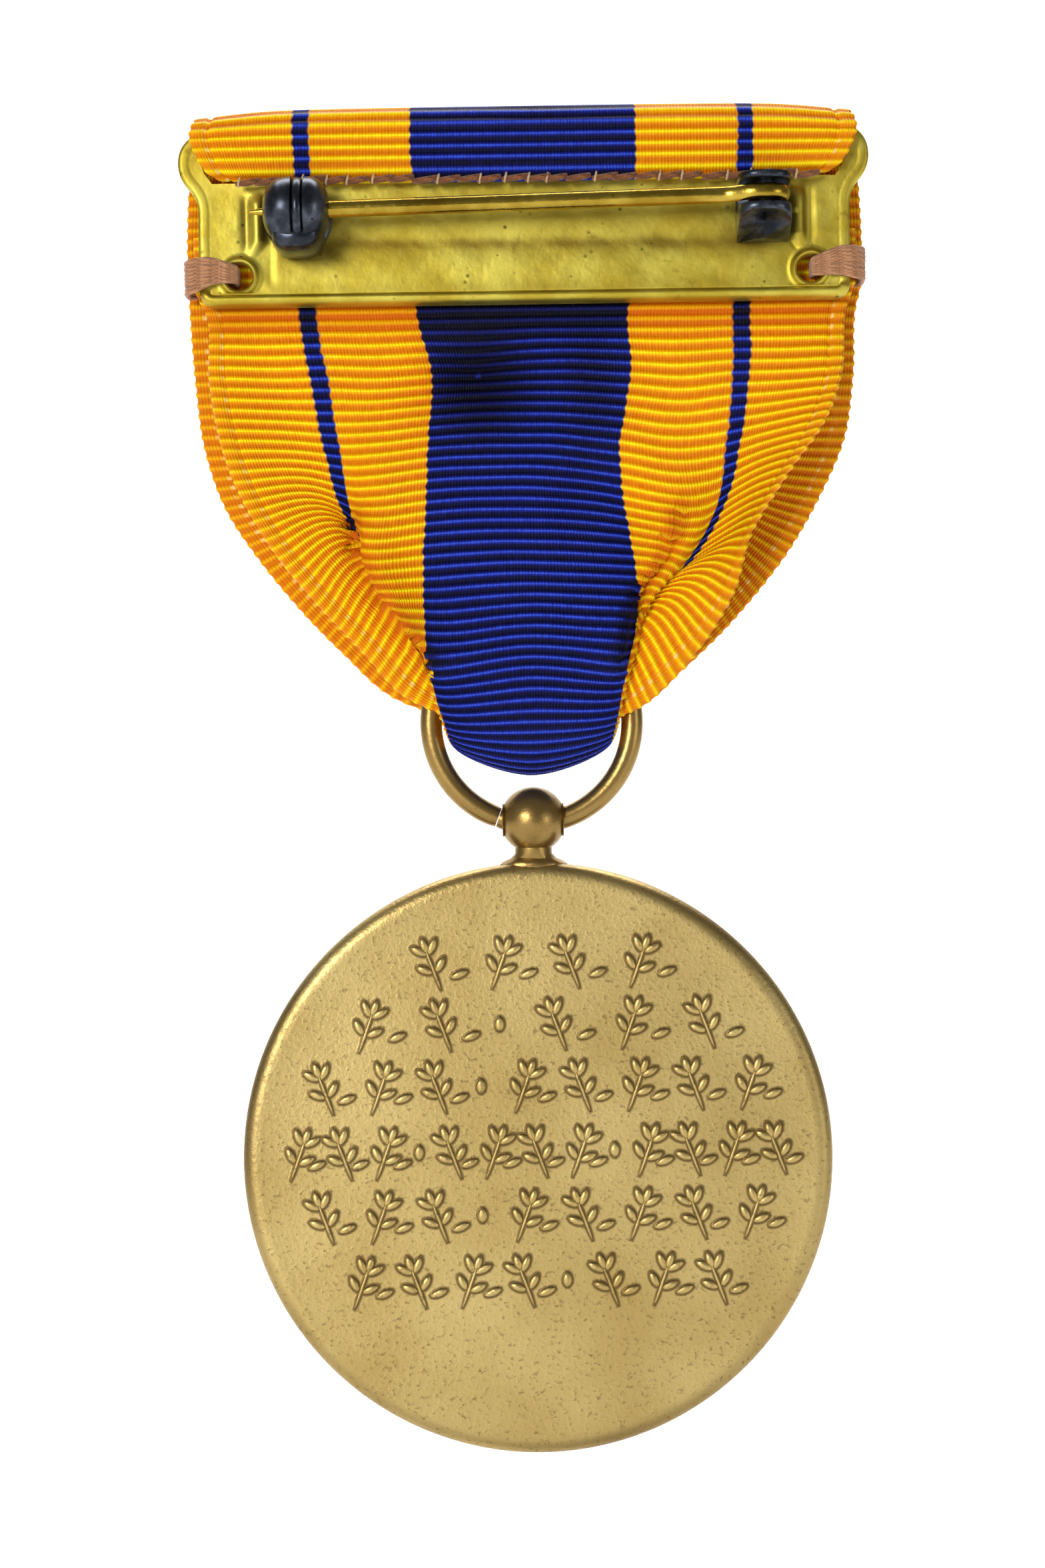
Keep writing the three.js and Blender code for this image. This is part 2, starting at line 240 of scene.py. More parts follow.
@dataclass
class Patchwork:
    """Grids of points, welded into one closed mesh whose faces look outwards."""

    name: str
    points: list[Array] = field(default_factory=list)
    quads: list[Array] = field(default_factory=list)
    uvs: list[Array] = field(default_factory=list)
    shades: list[Array] = field(default_factory=list)
    count: int = 0

    def grid(
        self, points: Array, uv: Array | None = None, shade: Array | None = None, keep: Array | None = None,
        flip: bool = False,
    ) -> Patchwork:
        """Adds a grid of points.

        Args:
            points: (rows, columns, 3) in millimetres.
            uv: (rows, columns, 2) places on the piece's own map.
            shade: (rows, columns) value of the attribute "shade".
            keep: (rows - 1, columns - 1) the cells that have a face.
            flip: whether the faces look the other way.

        Returns:
            This patchwork.
        """
        rows, columns = points.shape[:2]
        i = np.arange(rows * columns).reshape(rows, columns) + self.count
        quad = np.stack([i[:-1, :-1], i[1:, :-1], i[1:, 1:], i[:-1, 1:]], -1).reshape(-1, 4)
        quad = quad if keep is None else quad[keep.reshape(-1)]
        quad = quad[:, ::-1] if flip else quad
        self.points.append(points.reshape(-1, 3))
        self.quads.append(quad)
        self.uvs.append(np.zeros((rows * columns, 2)) if uv is None else uv.reshape(-1, 2))
        self.shades.append(np.zeros(rows * columns) if shade is None else shade.reshape(-1))
        self.count += rows * columns
        return self

    def shell(self, points: Array, uv: Array | None = None, shade: Array | None = None) -> Patchwork:
        """Adds a grid that is closed by itself, turned so that the volume it encloses is positive."""
        a, b, c, d = points[:-1, :-1], points[1:, :-1], points[1:, 1:], points[:-1, 1:]
        volume = np.einsum("ijk,ijk->", a, np.cross(b, c) + np.cross(c, d))
        return self.grid(points, uv, shade, flip=bool(volume < 0))

    def build(self, outward: bool = True, sharp: float = 40.0) -> bpy.types.Object:
        """Welds the grids and writes the mesh.

        Points closer than the weld become one, and a corner that falls on its neighbour is left out of its
        face. Where the enclosed volume comes out negative, every face is turned round.

        Args:
            outward: whether to turn the faces by the enclosed volume.
            sharp: the angle in degrees past which an edge is shaded sharp.

        Returns:
            The new object, at the origin.
        """
        points = np.concatenate(self.points)
        _, first, where = np.unique(
            np.round(points / WELD).astype(np.int64), axis=0, return_index=True, return_inverse=True
        )
        where = where.reshape(-1)
        source = np.concatenate(self.quads)
        quads = where[source]
        vertices = points[first]
        if outward:
            a, b, c, d = (vertices[quads[:, k]] for k in range(4))
            volume = np.einsum("ij,ij->i", a, np.cross(b, c) + np.cross(c, d)).sum()
            if volume < 0:
                quads, source = quads[:, ::-1], source[:, ::-1]
        keep = quads != np.roll(quads, -1, axis=1)
        keep &= (keep.sum(1) >= 3)[:, None]
        across = (quads[:, 0] == quads[:, 2]) | (quads[:, 1] == quads[:, 3])
        keep &= ~across[:, None]
        sizes = keep.sum(1)
        sizes = sizes[sizes > 0]
        corners = quads[keep]
        mesh = bpy.data.meshes.new(self.name)
        mesh.vertices.add(len(vertices))
        mesh.vertices.foreach_set("co", (vertices * MM).astype(np.float32).ravel())
        mesh.loops.add(len(corners))
        mesh.loops.foreach_set("vertex_index", corners.astype(np.int32))
        mesh.polygons.add(len(sizes))
        mesh.polygons.foreach_set("loop_start", np.concatenate([[0], np.cumsum(sizes)[:-1]]).astype(np.int32))
        mesh.polygons.foreach_set("use_smooth", np.ones(len(sizes), bool))
        mesh.update(calc_edges=True)
        uv = mesh.uv_layers.new(name="place")
        uv.data.foreach_set("uv", np.concatenate(self.uvs)[source[keep]].astype(np.float32).ravel())
        shade = mesh.attributes.new("shade", "FLOAT", "POINT")
        shade.data.foreach_set("value", np.concatenate(self.shades)[first].astype(np.float32))
        mesh.validate()
        mesh.set_sharp_from_angle(angle=math.radians(sharp))
        obj = bpy.data.objects.new(self.name, mesh)
        bpy.context.scene.collection.objects.link(obj)
        return obj


def settle(
    obj: bpy.types.Object, body: str, finish: bpy.types.Material, nodes: tuple[str, ...] = ()
) -> bpy.types.Object:
    """Gives a piece its finish, its body and the CAD nodes that it stands for.

    Args:
        obj: the finished piece.
        body: the CAD body that it rides on.
        finish: its material.
        nodes: the CAD nodes that it replaces.

    Returns:
        The same object.
    """
    obj.data.materials.clear()
    obj.data.materials.append(finish)
    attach(obj, body)
    if nodes:
        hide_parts(*nodes)
    LOG.info("%s rides on %s: %d faces", obj.name, body, len(obj.data.polygons))
    return obj


# ---------------------------------------------------------------------------- materials

Socket = bpy.types.NodeSocket
Value = float | Socket
Colour = tuple[float, float, float]


def linear(colour: Colour) -> tuple[float, float, float, float]:
    """A display colour of 0 to 255 as scene-linear red, green, blue and alpha."""
    c = np.array(colour, float) / 255
    c = np.where(c <= 0.04045, c / 12.92, ((c + 0.055) / 1.055) ** 2.4)
    return (float(c[0]), float(c[1]), float(c[2]), 1.0)


class Recipe:
    """A material under construction, with short names for the nodes that the finishes use."""

    def __init__(self, name: str, **surface: float) -> None:
        """Makes the material and its one shader.

        Args:
            name: the material's name.
            surface: numbers set on the shader's own sockets, with spaces as underscores.
        """
        self.material = bpy.data.materials.new(name)
        self.material.use_nodes = True
        self.tree = self.material.node_tree
        self.shader = self.tree.nodes["Principled BSDF"]
        for key, value in surface.items():
            self.shader.inputs[key.replace("_", " ").title().replace("Ior", "IOR")].default_value = value
        self.coordinates = self.tree.nodes.new("ShaderNodeTexCoord")

    def node(
        self, kind: str, values: dict[str | int, Value | tuple], **settings: str | float | bool
    ) -> bpy.types.Node:
        """Adds a node, sets its properties, and sets or links its inputs."""
        made = self.tree.nodes.new(f"ShaderNode{kind}")
        for key, value in settings.items():
            setattr(made, key, value)
        for key, value in values.items():
            self.feed(made.inputs[key], value)
        return made

    def feed(self, socket: Socket, value: Value | tuple) -> None:
        """Links a socket into an input, or sets its number or colour."""
        if isinstance(value, bpy.types.NodeSocket):
            self.tree.links.new(value, socket)
        else:
            socket.default_value = value

    @property
    def place(self) -> Socket:
        """The point on the object, in metres."""
        return self.coordinates.outputs["Object"]

    def axes(self, vector: Socket) -> list[Socket]:
        """The X, Y and Z of a vector."""
        return list(self.node("SeparateXYZ", {0: vector}).outputs)

    def math(self, operation: str, a: Value, b: Value = 0.0, c: Value = 0.0) -> Socket:
        """One sum on numbers, by the operation's name."""
        return self.node("Math", {0: a, 1: b, 2: c}, operation=operation).outputs[0]

    def noise(
        self, scale: float, detail: float = 3.0, rough: float = 0.55, vector: Socket | None = None,
        distortion: float = 0.0,
    ) -> Socket:
        """Cloudy noise of 0 to 1, its scale in repeats to the metre."""
        made = self.node(
            "TexNoise",
            {"Vector": vector or self.place, "Scale": scale, "Detail": detail, "Roughness": rough,
             "Distortion": distortion},
        )
        return made.outputs["Fac"]

    def stretch(self, vector: Socket, scale: Point) -> Socket:
        """A vector scaled by a Mapping node."""
        return self.node("Mapping", {"Vector": vector, "Scale": scale}).outputs[0]

    def span(
        self, value: Value, low: float, high: float, to_low: float = 0.0, to_high: float = 1.0
    ) -> Socket:
        """A number carried from one range to another along a smooth step."""
        made = self.node(
            "MapRange", {0: value, 1: low, 2: high, 3: to_low, 4: to_high}, interpolation_type="SMOOTHSTEP"
        )
        return made.outputs[0]

    def mix(self, factor: Value, a: Colour | Socket, b: Colour | Socket) -> Socket:
        """Two colours mixed by a factor."""
        made = self.node("Mix", {0: factor}, data_type="RGBA")
        for socket, value in ((made.inputs[6], a), (made.inputs[7], b)):
            self.feed(socket, value if isinstance(value, bpy.types.NodeSocket) else linear(value))
        return made.outputs[2]

    def attribute(self, name: str) -> Socket:
        """A number stored on the mesh."""
        return self.node("Attribute", {}, attribute_name=name).outputs["Fac"]

    def bump(
        self, height: Socket, distance: float, strength: float = 1.0, before: Socket | None = None
    ) -> Socket:
        """A bumped normal; distance is the depth in millimetres of a height of one."""
        values: dict[str | int, Value] = {"Height": height, "Distance": distance * MM, "Strength": strength}
        if before is not None:
            values["Normal"] = before
        return self.node("Bump", values).outputs[0]

    def finish(
        self, colour: Socket | Colour, rough: Value, normal: Socket | None = None
    ) -> bpy.types.Material:
        """Feeds the shader and returns the material."""
        self.feed(
            self.shader.inputs["Base Color"],
            colour if isinstance(colour, bpy.types.NodeSocket) else linear(colour),
        )
        self.feed(self.shader.inputs["Roughness"], rough)
        if normal is not None:
            self.feed(self.shader.inputs["Normal"], normal)
        return self.material


@dataclass(frozen=True)
class MoireRibbon:
    """Ribbed ribbon: a wide blue centre, gold sides, each with a narrow blue stripe, and a dotted selvage."""

    centre: float = 5.9
    stripe: float = 11.65
    stripe_width: float = 0.86
    selvage: float = 16.75
    rib: float = 0.585
    # The light and deep colours are a painted highlight on the rib crests and painted shade in the rib
    # grooves.
    gold: Colour = (242, 168, 0)
    gold_highlight: Colour = (255, 232, 16)
    gold_groove_shade: Colour = (214, 104, 0)
    blue: Colour = (22, 30, 122)
    blue_highlight: Colour = (50, 82, 218)
    blue_groove_shade: Colour = (3, 3, 26)

    def material(self) -> bpy.types.Material:
        """Builds the ribbon's nodes on the piece's own map, u across and v along, both in millimetres.

        Returns:
            The material: colour by |u|, a painted highlight on the crest and painted shade in the groove of
                every
            rib of v, more painted shade from the shade attribute, and fine warp threads.
        """
        r = Recipe("ribbed_ribbon", sheen_weight=0.02, sheen_roughness=0.4, specular_ior_level=0.1)
        r.shader.inputs["Sheen Tint"].default_value = linear((255, 225, 150))
        place = r.node("UVMap", {}, uv_map="place").outputs[0]
        u, v, _ = r.axes(place)
        wobble = r.noise(0.55, 3.0, 0.6, place)
        edge = r.math("MULTIPLY_ADD", r.math("SUBTRACT", wobble, 0.5), 0.3, r.math("ABSOLUTE", u))
        phase = r.math("COSINE", r.math("MULTIPLY", v, TAU / self.rib))
        crest = r.math("MULTIPLY_ADD", phase, 0.5, 0.5)
        edge = r.math("MULTIPLY_ADD", phase, 0.04, edge)
        centre = r.span(edge, self.centre - 0.06, self.centre + 0.06, 1, 0)
        away = r.math("ABSOLUTE", r.math("SUBTRACT", edge, self.stripe))
        line = r.span(away, self.stripe_width / 2 - 0.07, self.stripe_width / 2 + 0.07, 1, 0)
        blue = r.math("MAXIMUM", centre, line)
        warp = r.math("MULTIPLY_ADD", r.math("SINE", r.math("MULTIPLY", u, TAU / 0.17)), 0.5, 0.5)
        fleck = r.noise(5.5, 2.0, 0.7, r.stretch(place, (1.0, 0.35, 1.0)))
        shade = r.attribute("shade")
        # Painted highlight and shade: each rib's crest is mixed towards the highlight colours and its groove
        # towards the shaded ones.
        painted_crest_light = r.math("POWER", crest, 1.7)
        lift = r.math("ADD", r.math("MULTIPLY", painted_crest_light, 0.68), r.math("MULTIPLY", fleck, 0.32))
        lift = r.math("MULTIPLY_ADD", warp, 0.1, lift)
        # Painted shade: the shade attribute lowers the ribbon's brightness.
        lift = r.math("SUBTRACT", lift, r.math("MULTIPLY", shade, 0.3))
        gold = r.mix(r.span(lift, 0.05, 0.6), self.gold_groove_shade, self.gold)
        gold = r.mix(r.span(lift, 0.6, 0.95), gold, self.gold_highlight)
        royal = r.mix(r.span(lift, 0.1, 0.75), self.blue_groove_shade, self.blue)
        royal = r.mix(r.span(lift, 0.66, 1.0), royal, self.blue_highlight)
        colour = r.mix(blue, gold, royal)
        # Painted shade: where the shade attribute is high the colour goes to a shadowed orange red on gold
        # and near black on blue.
        colour = r.mix(r.math("MULTIPLY", shade, r.math("MULTIPLY_ADD", blue, 0.35, 0.35)), colour,
                       r.mix(blue, (150, 62, 0), (2, 2, 14)))
        selvage = r.span(r.math("ABSOLUTE", u), self.selvage - 0.1, self.selvage + 0.1)
        thin = r.span(r.math("ABSOLUTE", r.math("SUBTRACT", r.math("ABSOLUTE", u), 16.88)), 0.03, 0.15, 1, 0)
        pale = r.math("MULTIPLY", r.math("MULTIPLY", r.span(crest, 0.45, 0.8), thin),
                      r.span(r.noise(0.9, 3.0, 0.7, place), 0.42, 0.6))
        colour = r.mix(r.math("MULTIPLY", selvage, 0.3), colour, (238, 150, 14))
        colour = r.mix(r.math("MULTIPLY", pale, 0.6), colour, (250, 226, 160))
        bump = r.math("ADD", r.math("MULTIPLY", crest, 0.5), r.math("MULTIPLY", warp, 0.5))
        bump = r.math("ADD", bump, r.math("MULTIPLY", fleck, 0.35))
        rough = r.math("MULTIPLY_ADD", fleck, 0.2, 0.38)
        return r.finish(colour, rough, r.bump(bump, 0.07, 0.8))


@dataclass(frozen=True)
class Brass:
    """Stamped or drawn brass with a golden green lacquer, brown stains, specks and hairline scratches."""

    name: str
    base: Colour = (186, 164, 56)
    light: Colour = (214, 200, 88)
    stain_and_shade: Colour = (112, 84, 26)
    rough: float = 0.4
    stains: float = 0.7
    speck: float = 0.8

    def material(self) -> bpy.types.Material:
        """Builds the brass: cloudy tone, brown stain blots, painted shade from the shade attribute, dark
        specks, and scratches along X.
        """
        r = Recipe(self.name, metallic=1.0)
        cloud = r.noise(260, 4.0, 0.6)
        tone = r.mix(r.span(cloud, 0.35, 0.7), self.base, self.light)
        blot = r.noise(420, 5.0, 0.7, distortion=0.6)
        tone = r.mix(r.math("MULTIPLY", r.span(blot, 0.6, 0.74), self.stains), tone, self.stain_and_shade)
        dot = r.node("TexVoronoi", {"Vector": r.place, "Scale": 1500.0})
        dark = r.math("MULTIPLY", r.span(dot.outputs["Distance"], 0.1, 0.2, 1, 0), r.span(cloud, 0.5, 0.62))
        tone = r.mix(r.math("MULTIPLY", dark, self.speck), tone, (52, 40, 16))
        # Painted shade: the shade attribute darkens the brass towards the brown stain colour where shadows
        # and dark reflections fall.
        tone = r.mix(r.math("MULTIPLY", r.attribute("shade"), 0.75), tone, self.stain_and_shade)
        scratch = r.noise(900, 2.0, 0.5, r.stretch(r.place, (0.12, 1.0, 1.0)))
        fine = r.noise(2600, 2.0, 0.6)
        rough = r.math("MULTIPLY_ADD", blot, 0.3, self.rough - 0.12)
        rough = r.math("MULTIPLY_ADD", scratch, 0.12, rough)
        normal = r.bump(scratch, 0.02, 0.5)
        normal = r.bump(r.math("MULTIPLY_ADD", cloud, 3.0, fine), 0.03, 0.5, normal)
        return r.finish(tone, rough, normal)


@dataclass(frozen=True)
class Blackened:
    """Blackened steel: near black with a blue grey sheen, rubbed brighter in clouds and pitted brown."""

    name: str = "blackened_steel"
    base: Colour = (46, 50, 58)
    rubbed: Colour = (92, 98, 110)

    def material(self) -> bpy.types.Material:
        """Builds the steel: dark tone, clouds of wear, brown pits and a fine grain."""
        r = Recipe(self.name, metallic=0.85)
        cloud = r.noise(900, 4.0, 0.6)
        tone = r.mix(r.span(cloud, 0.4, 0.72), self.base, self.rubbed)
        pit = r.noise(2400, 3.0, 0.7)
        tone = r.mix(r.span(pit, 0.66, 0.74), tone, (40, 32, 26))
        rough = r.math("MULTIPLY_ADD", cloud, 0.2, 0.2)
        return r.finish(tone, rough, r.bump(r.math("MULTIPLY_ADD", pit, 0.3, cloud), 0.012, 0.5))


@dataclass(frozen=True)
class Bronze:
    """Matt bronze, sandblasted and lacquered: fine dark speckle, and a brown tone in the hollows."""

    name: str
    base: Colour = (178, 151, 88)
    light: Colour = (212, 188, 124)
    dark: Colour = (92, 68, 34)
    rough: float = 0.42
    grain: float = 1.0
    edge: float = 0.0

    def material(self) -> bpy.types.Material:
        """Builds the bronze; the mesh attribute shade darkens the hollows round raised work with patina, and
        is painted shade on the disc's bevel.
        """
        r = Recipe(self.name, metallic=0.9)
        cloud = r.noise(140, 4.0, 0.55)
        fine = r.noise(4200, 2.0, 0.65)
        tone = r.mix(r.span(cloud, 0.1, 0.95), self.base, self.light)
        tone = r.mix(r.math("MULTIPLY", r.span(fine, 0.56, 0.72), 0.5 * self.grain), tone, self.dark)
        blot = r.noise(330, 5.0, 0.7, distortion=0.8)
        tone = r.mix(r.math("MULTIPLY", r.span(blot, 0.68, 0.8), 0.2), tone, self.dark)
        # The shade attribute: patina round the raised work, and painted shade on the disc's bevel.
        tone = r.mix(r.math("MULTIPLY", r.attribute("shade"), 0.85), tone, self.dark)
        rough = r.math("MULTIPLY_ADD", fine, 0.14, self.rough - 0.07)
        return r.finish(tone, rough, r.bump(fine, 0.035, self.grain * 0.7))


@dataclass(frozen=True)
class Thread:
    """Waxed thread: soft fibres twisted round a strand, in a buff, brown or cream tone."""

    name: str
    base: Colour
    dark: Colour

    def material(self) -> bpy.types.Material:
        """Builds the thread on its own map: u round the strand and v along it."""
        r = Recipe(self.name, sheen_weight=0.3, sheen_roughness=0.5, specular_ior_level=0.25)
        place = r.node("UVMap", {}, uv_map="place").outputs[0]
        u, v, _ = r.axes(place)
        lay = r.math("SINE", r.math("MULTIPLY", r.math("ADD", r.math("MULTIPLY", u, 2.0), v), TAU))
        fibre = r.noise(9.0, 3.0, 0.7, r.stretch(place, (3.0, 0.5, 1.0)))
        light = r.span(r.math("ADD", fibre, r.math("MULTIPLY", lay, 0.05)), 0.3, 0.7)
        tone = r.mix(light, self.dark, self.base)
        return r.finish(tone, 0.7, r.bump(r.math("MULTIPLY_ADD", lay, 0.15, fibre), 0.05, 0.7))


# ---------------------------------------------------------------------------- ribbon


@dataclass
class Pleats:
    """How one side of one layer of the drop is gathered: each row gives x, z and y at the knots across it."""

    x: list[list[float]]
    z: list[list[float]]
    y: list[list[float]]


def gathered(border: tuple, middle: tuple, hidden: tuple, outer: tuple, selvage: tuple) -> Pleats:
    """Collects the lines along a layer into pleats.

    Args:
        border: (x, z, y) rows of the blue's border.
        middle: the same, in the middle of the inner gold band.
        hidden: the same, at the stripe that goes into the fold.
        outer: the same, in the middle of the outer gold band.
        selvage: the same, at the edge.

    Returns:
        The pleats, one row for each place down the layer and one column for each line.
    """
    lines = (border, middle, hidden, outer, selvage)
    x, z, y = ([list(row) for row in zip(*(line[k] for line in lines))] for k in range(3))
    return Pleats(x, z, y)


LEFT_BACK = gathered(
    ([5.86, 5.1, 5.3, 5.5, 5.65, 5.7, 5.2, 4.5, 4.2, 4.05],
     [-5.2, -8.8, -12.1, -15.5, -19.0, -22.0, -25.3, -27.5, -28.3, -28.5],
     [1.3, 1.0, 0.7, 0.5, 0.3, 0.2, 0.3, 0.6, 1.2, 1.9]),
    ([8.75, 8.15, 8.05, 8.3, 8.5, 7.0, 5.15, 4.35, 4.1, 4.0],
     [-5.2, -9.0, -12.4, -15.9, -19.2, -21.5, -24.3, -26.6, -27.4, -27.6],
     [1.3, 1.0, 0.7, 0.15, -0.25, -0.1, 0.4, 0.8, 1.4, 1.9]),
    ([11.2, 10.6, 10.0, 9.5, 8.3, 6.3, 4.5, 4.0, 3.9, 3.9],
     [-5.2, -8.9, -12.4, -15.6, -17.9, -19.2, -21.4, -24.0, -26.0, -26.8],
     [1.3, 1.05, 0.9, 0.9, 1.45, 1.55, 1.3, 1.1, 1.3, 1.9]),
    ([13.3, 12.9, 12.2, 11.3, 10.0, 8.6, 6.4, 4.5, 4.0, 4.0],
     [-5.2, -8.9, -12.2, -15.0, -16.9, -18.4, -20.6, -23.0, -25.0, -26.0],
     [1.3, 1.1, 0.9, 0.8, 0.8, 0.9, 0.85, 0.9, 1.2, 1.9]),
    ([17.15, 16.95, 16.4, 15.2, 13.4, 11.4, 9.0, 6.8, 4.7, 4.35],
     [-5.2, -8.8, -12.1, -15.4, -18.4, -20.9, -23.5, -25.9, -27.0, -27.3],
     [1.3, 0.8, 0.3, 0.15, 0.2, 0.45, 0.7, 1.0, 1.1, 1.9]),
)
RIGHT_BACK = gathered(
    ([5.55, 5.6, 4.95, 5.2, 5.7, 5.75, 4.9, 4.4, 4.15, 4.05],
     [-5.2, -8.9, -12.4, -15.9, -19.2, -22.0, -25.2, -27.4, -28.3, -28.5],
     [1.3, 0.9, 0.8, 1.1, 0.5, 0.2, 0.3, 0.6, 1.2, 1.9]),
    ([8.6, 8.5, 8.0, 8.35, 7.3, 6.0, 4.9, 4.3, 4.1, 4.0],
     [-5.2, -9.1, -12.9, -16.7, -19.4, -21.6, -24.4, -26.6, -27.4, -27.6],
     [1.3, 0.9, 0.8, 0.1, -0.1, 0.2, 0.7, 1.0, 1.4, 1.9]),
    ([11.1, 11.0, 10.6, 9.95, 7.9, 5.6, 4.5, 4.0, 3.9, 3.9],
     [-5.2, -8.9, -12.6, -16.2, -19.5, -21.3, -23.2, -25.5, -26.6, -27.0],
     [1.3, 0.9, 0.8, 0.9, 0.9, 1.4, 1.2, 1.0, 1.3, 1.9]),
    ([13.3, 13.1, 12.4, 11.5, 9.9, 8.0, 6.1, 4.5, 4.0, 4.0],
     [-5.2, -8.9, -12.2, -15.3, -18.3, -19.9, -21.6, -23.4, -25.0, -26.0],
     [1.3, 0.9, 0.7, 0.5, 0.5, 0.6, 0.8, 0.9, 1.2, 1.9]),
    ([17.25, 16.85, 15.8, 13.7, 11.8, 10.9, 8.7, 6.3, 4.7, 4.35],
     [-5.2, -8.8, -11.6, -14.5, -17.6, -20.6, -24.0, -26.4, -27.2, -27.4],
     [1.3, 0.6, -0.1, -0.3, -0.1, 0.3, 0.6, 0.9, 1.1, 1.9]),
)


@dataclass
class Ribbon:
    """One length of ribbed ribbon: down from behind the plate's lower edge, gathered through the ring, up
    over the plate's top edge and into its slot. Three rows of the hanging cloth are known by their number:
    where it starts, where it turns in the ring and where it ends."""

    width: float = 35.4
    thickness: float = 0.4
    rib: float = 0.585
    rows_in_rib: int = 6
    rib_height: float = 0.1
    columns: int = 97
    hang: float = 1.9
    start_row: int = 3
    ring_row: int = 12
    end_row: int = 22
    lines: tuple[float, ...] = (0.0, 5.9, 8.8, 11.2, 13.2, 17.7)
    down: tuple[float, ...] = (0.0, 3.6, 7.0, 10.5, 14.0, 17.0, 20.5, 23.5, 25.6, 27.0)
    centre_z: tuple[float, ...] = (-5.2, -8.7, -12.0, -15.4, -18.8, -21.7, -25.0, -27.9, -29.6, -30.0)
    centre_y: tuple[float, ...] = (1.3, 0.9, 0.6, 0.4, 0.2, 0.0, -0.1, 0.1, 0.9, 1.9)
    folds: tuple[tuple[int, Array, Array], ...] = (
        (1, np.array([15.6, 18.0, 20.9, 24.0]), np.array([-9.3, -9.3, -7.7, -5.3])),
        (-1, np.array([15.4, 18.6, 20.6, 23.8]), np.array([8.4, 7.2, 5.7, 4.9])),
    )
    front_left: tuple[float, ...] = (18.1, 17.9, 17.55, 16.5, 14.6, 12.6, 10.15, 7.5, 4.9, 4.35)
    front_right: tuple[float, ...] = (17.85, 17.7, 17.25, 15.8, 14.0, 12.0, 9.5, 6.7, 4.9, 4.35)

    def knots(self) -> Array:
        """The places of the lines across the ribbon, from one selvage to the other."""
        side = np.array(self.lines)
        return np.concatenate([-side[:0:-1], side])

    def layer(self, left: Pleats, right: Pleats) -> Array:
        """Where the lines cross the rows of one hanging layer, as on the back, (rows, lines, 3)."""
        centre = np.stack([np.zeros(len(self.down)), self.centre_y, self.centre_z], -1)[:, None]
        sides = [np.stack([s * np.array(p.x), p.y, p.z], -1) for s, p in ((-1, left), (1, right))]
        return np.concatenate([sides[0][:, ::-1], centre, sides[1]], axis=1)

    def flat(self, y: float, z: float, narrow: float = 1.0, droop: float = 0.0, spread: float = 1.0) -> Array:
        """One straight row of points at (y, z), narrowed by a share and its ends lowered."""
        u = self.knots()
        end = np.abs(u / u[-1]) ** 6
        return np.stack([u * spread * (1 - (1 - narrow) * end), np.full(len(u), y), z - droop * end], -1)

    def stations(self) -> tuple[Array, Array]:
        """The rows that the ribbon runs through, from its hidden tail to its end in the slot.

        Returns:
            The length along the ribbon at each row, and the rows' points (rows, lines, 3).
        """
        back = self.layer(LEFT_BACK, RIGHT_BACK)
        front = self.layer(LEFT_BACK, LEFT_BACK)
        front[:, [0, -1], 0] = np.stack([-np.array(self.front_left), self.front_right], -1)
        front[:, [1, -2], 0] += np.array([-0.3, 0.3])
        front[:, :, 1] = 2 * self.hang - front[:, :, 1]
        front[-1] = back[-1]
        tail = [self.flat(1.3, z) for z in (-1.2, -2.6, -4.0)]
        plane = [self.flat(y, z, spread=s) for y, z, s in (
            (2.48, -4.0, 1.025), (2.46, -2.0, 1.028), (2.46, 0.5, 1.024), (2.46, 3.0, 1.015),
            (2.42, 4.2, 1.01))]
        wrap = [self.flat(y, z, n, d, 1.012) for y, z, n, d in (
            (2.2, 4.78, 0.995, 0.1), (1.6, 5.14, 0.985, 0.28), (0.7, 5.2, 0.975, 0.42),
            (-0.1, 5.06, 0.975, 0.45), (-0.55, 4.5, 0.985, 0.35), (-0.66, 3.7, 0.985, 0.1),
            (-0.66, 2.9, 0.97, 0.0), (-0.64, 2.2, 0.95, -0.05), (-0.5, 1.75, 0.93, -0.15),
            (-0.1, 1.56, 0.9, -0.25), (0.5, 1.7, 0.9, -0.2), (1.0, 1.5, 0.9, 0.0), (1.08, 0.9, 0.9, 0.0),
            (1.08, 0.35, 0.9, 0.0))]
        rows = np.concatenate([np.array(tail), back, front[-2::-1], np.array(plane), np.array(wrap)])
        gaps = np.linalg.norm(np.diff(rows[:, len(self.lines) - 1], axis=0), axis=-1)
        start, n = len(tail), len(self.down)
        gaps[start : start + n - 1] = np.diff(self.down)
        gaps[start + n - 1 : start + 2 * n - 2] = np.diff(self.down)[::-1]
        return np.concatenate([[0.0], np.cumsum(gaps)]), rows

    def length(self) -> float:
        """The ribbon's cut length in millimetres."""
        return float(self.stations()[0][-1])

    def sway(self, points: Array) -> Array:
        """How far the drop's cloth stands from its plain gathers: soft waves, a hollow and the two folds."""
        x, z = points[..., 0], points[..., 2]
        near = step(-5.4, -9.0, z) * step(-29.0, -25.0, z)
        wave = 0.1 * ripple(0.5 * x + 0.33 * z, 3, 3) + 0.08 * ripple(0.42 * z - 0.3 * x, 8, 3)
        hollow = 1.0 * np.exp(-(((x + 2.6) / 2.0) ** 2) - ((z + 8.4) / 2.4) ** 2)
        swell = -0.35 * np.exp(-(((x - 1.5 - 0.35 * (z + 13)) / 1.5) ** 2) - ((z + 13.5) / 4.0) ** 2)
        fold = 0.0
        for way, down, across in self.folds:
            off = way * (x - np.interp(-z, down, across))
            inner = -0.5 * np.exp(-((off / 1.7) ** 2)) * (off > 0)
            outer = 0.35 * np.exp(-((off / 1.0) ** 2)) * (off <= 0)
            fold = fold + (inner + outer) * step(-15.2, -17.6, z) * step(-25.5, -23.5, z)
        return near * (wave + hollow + swell) + fold

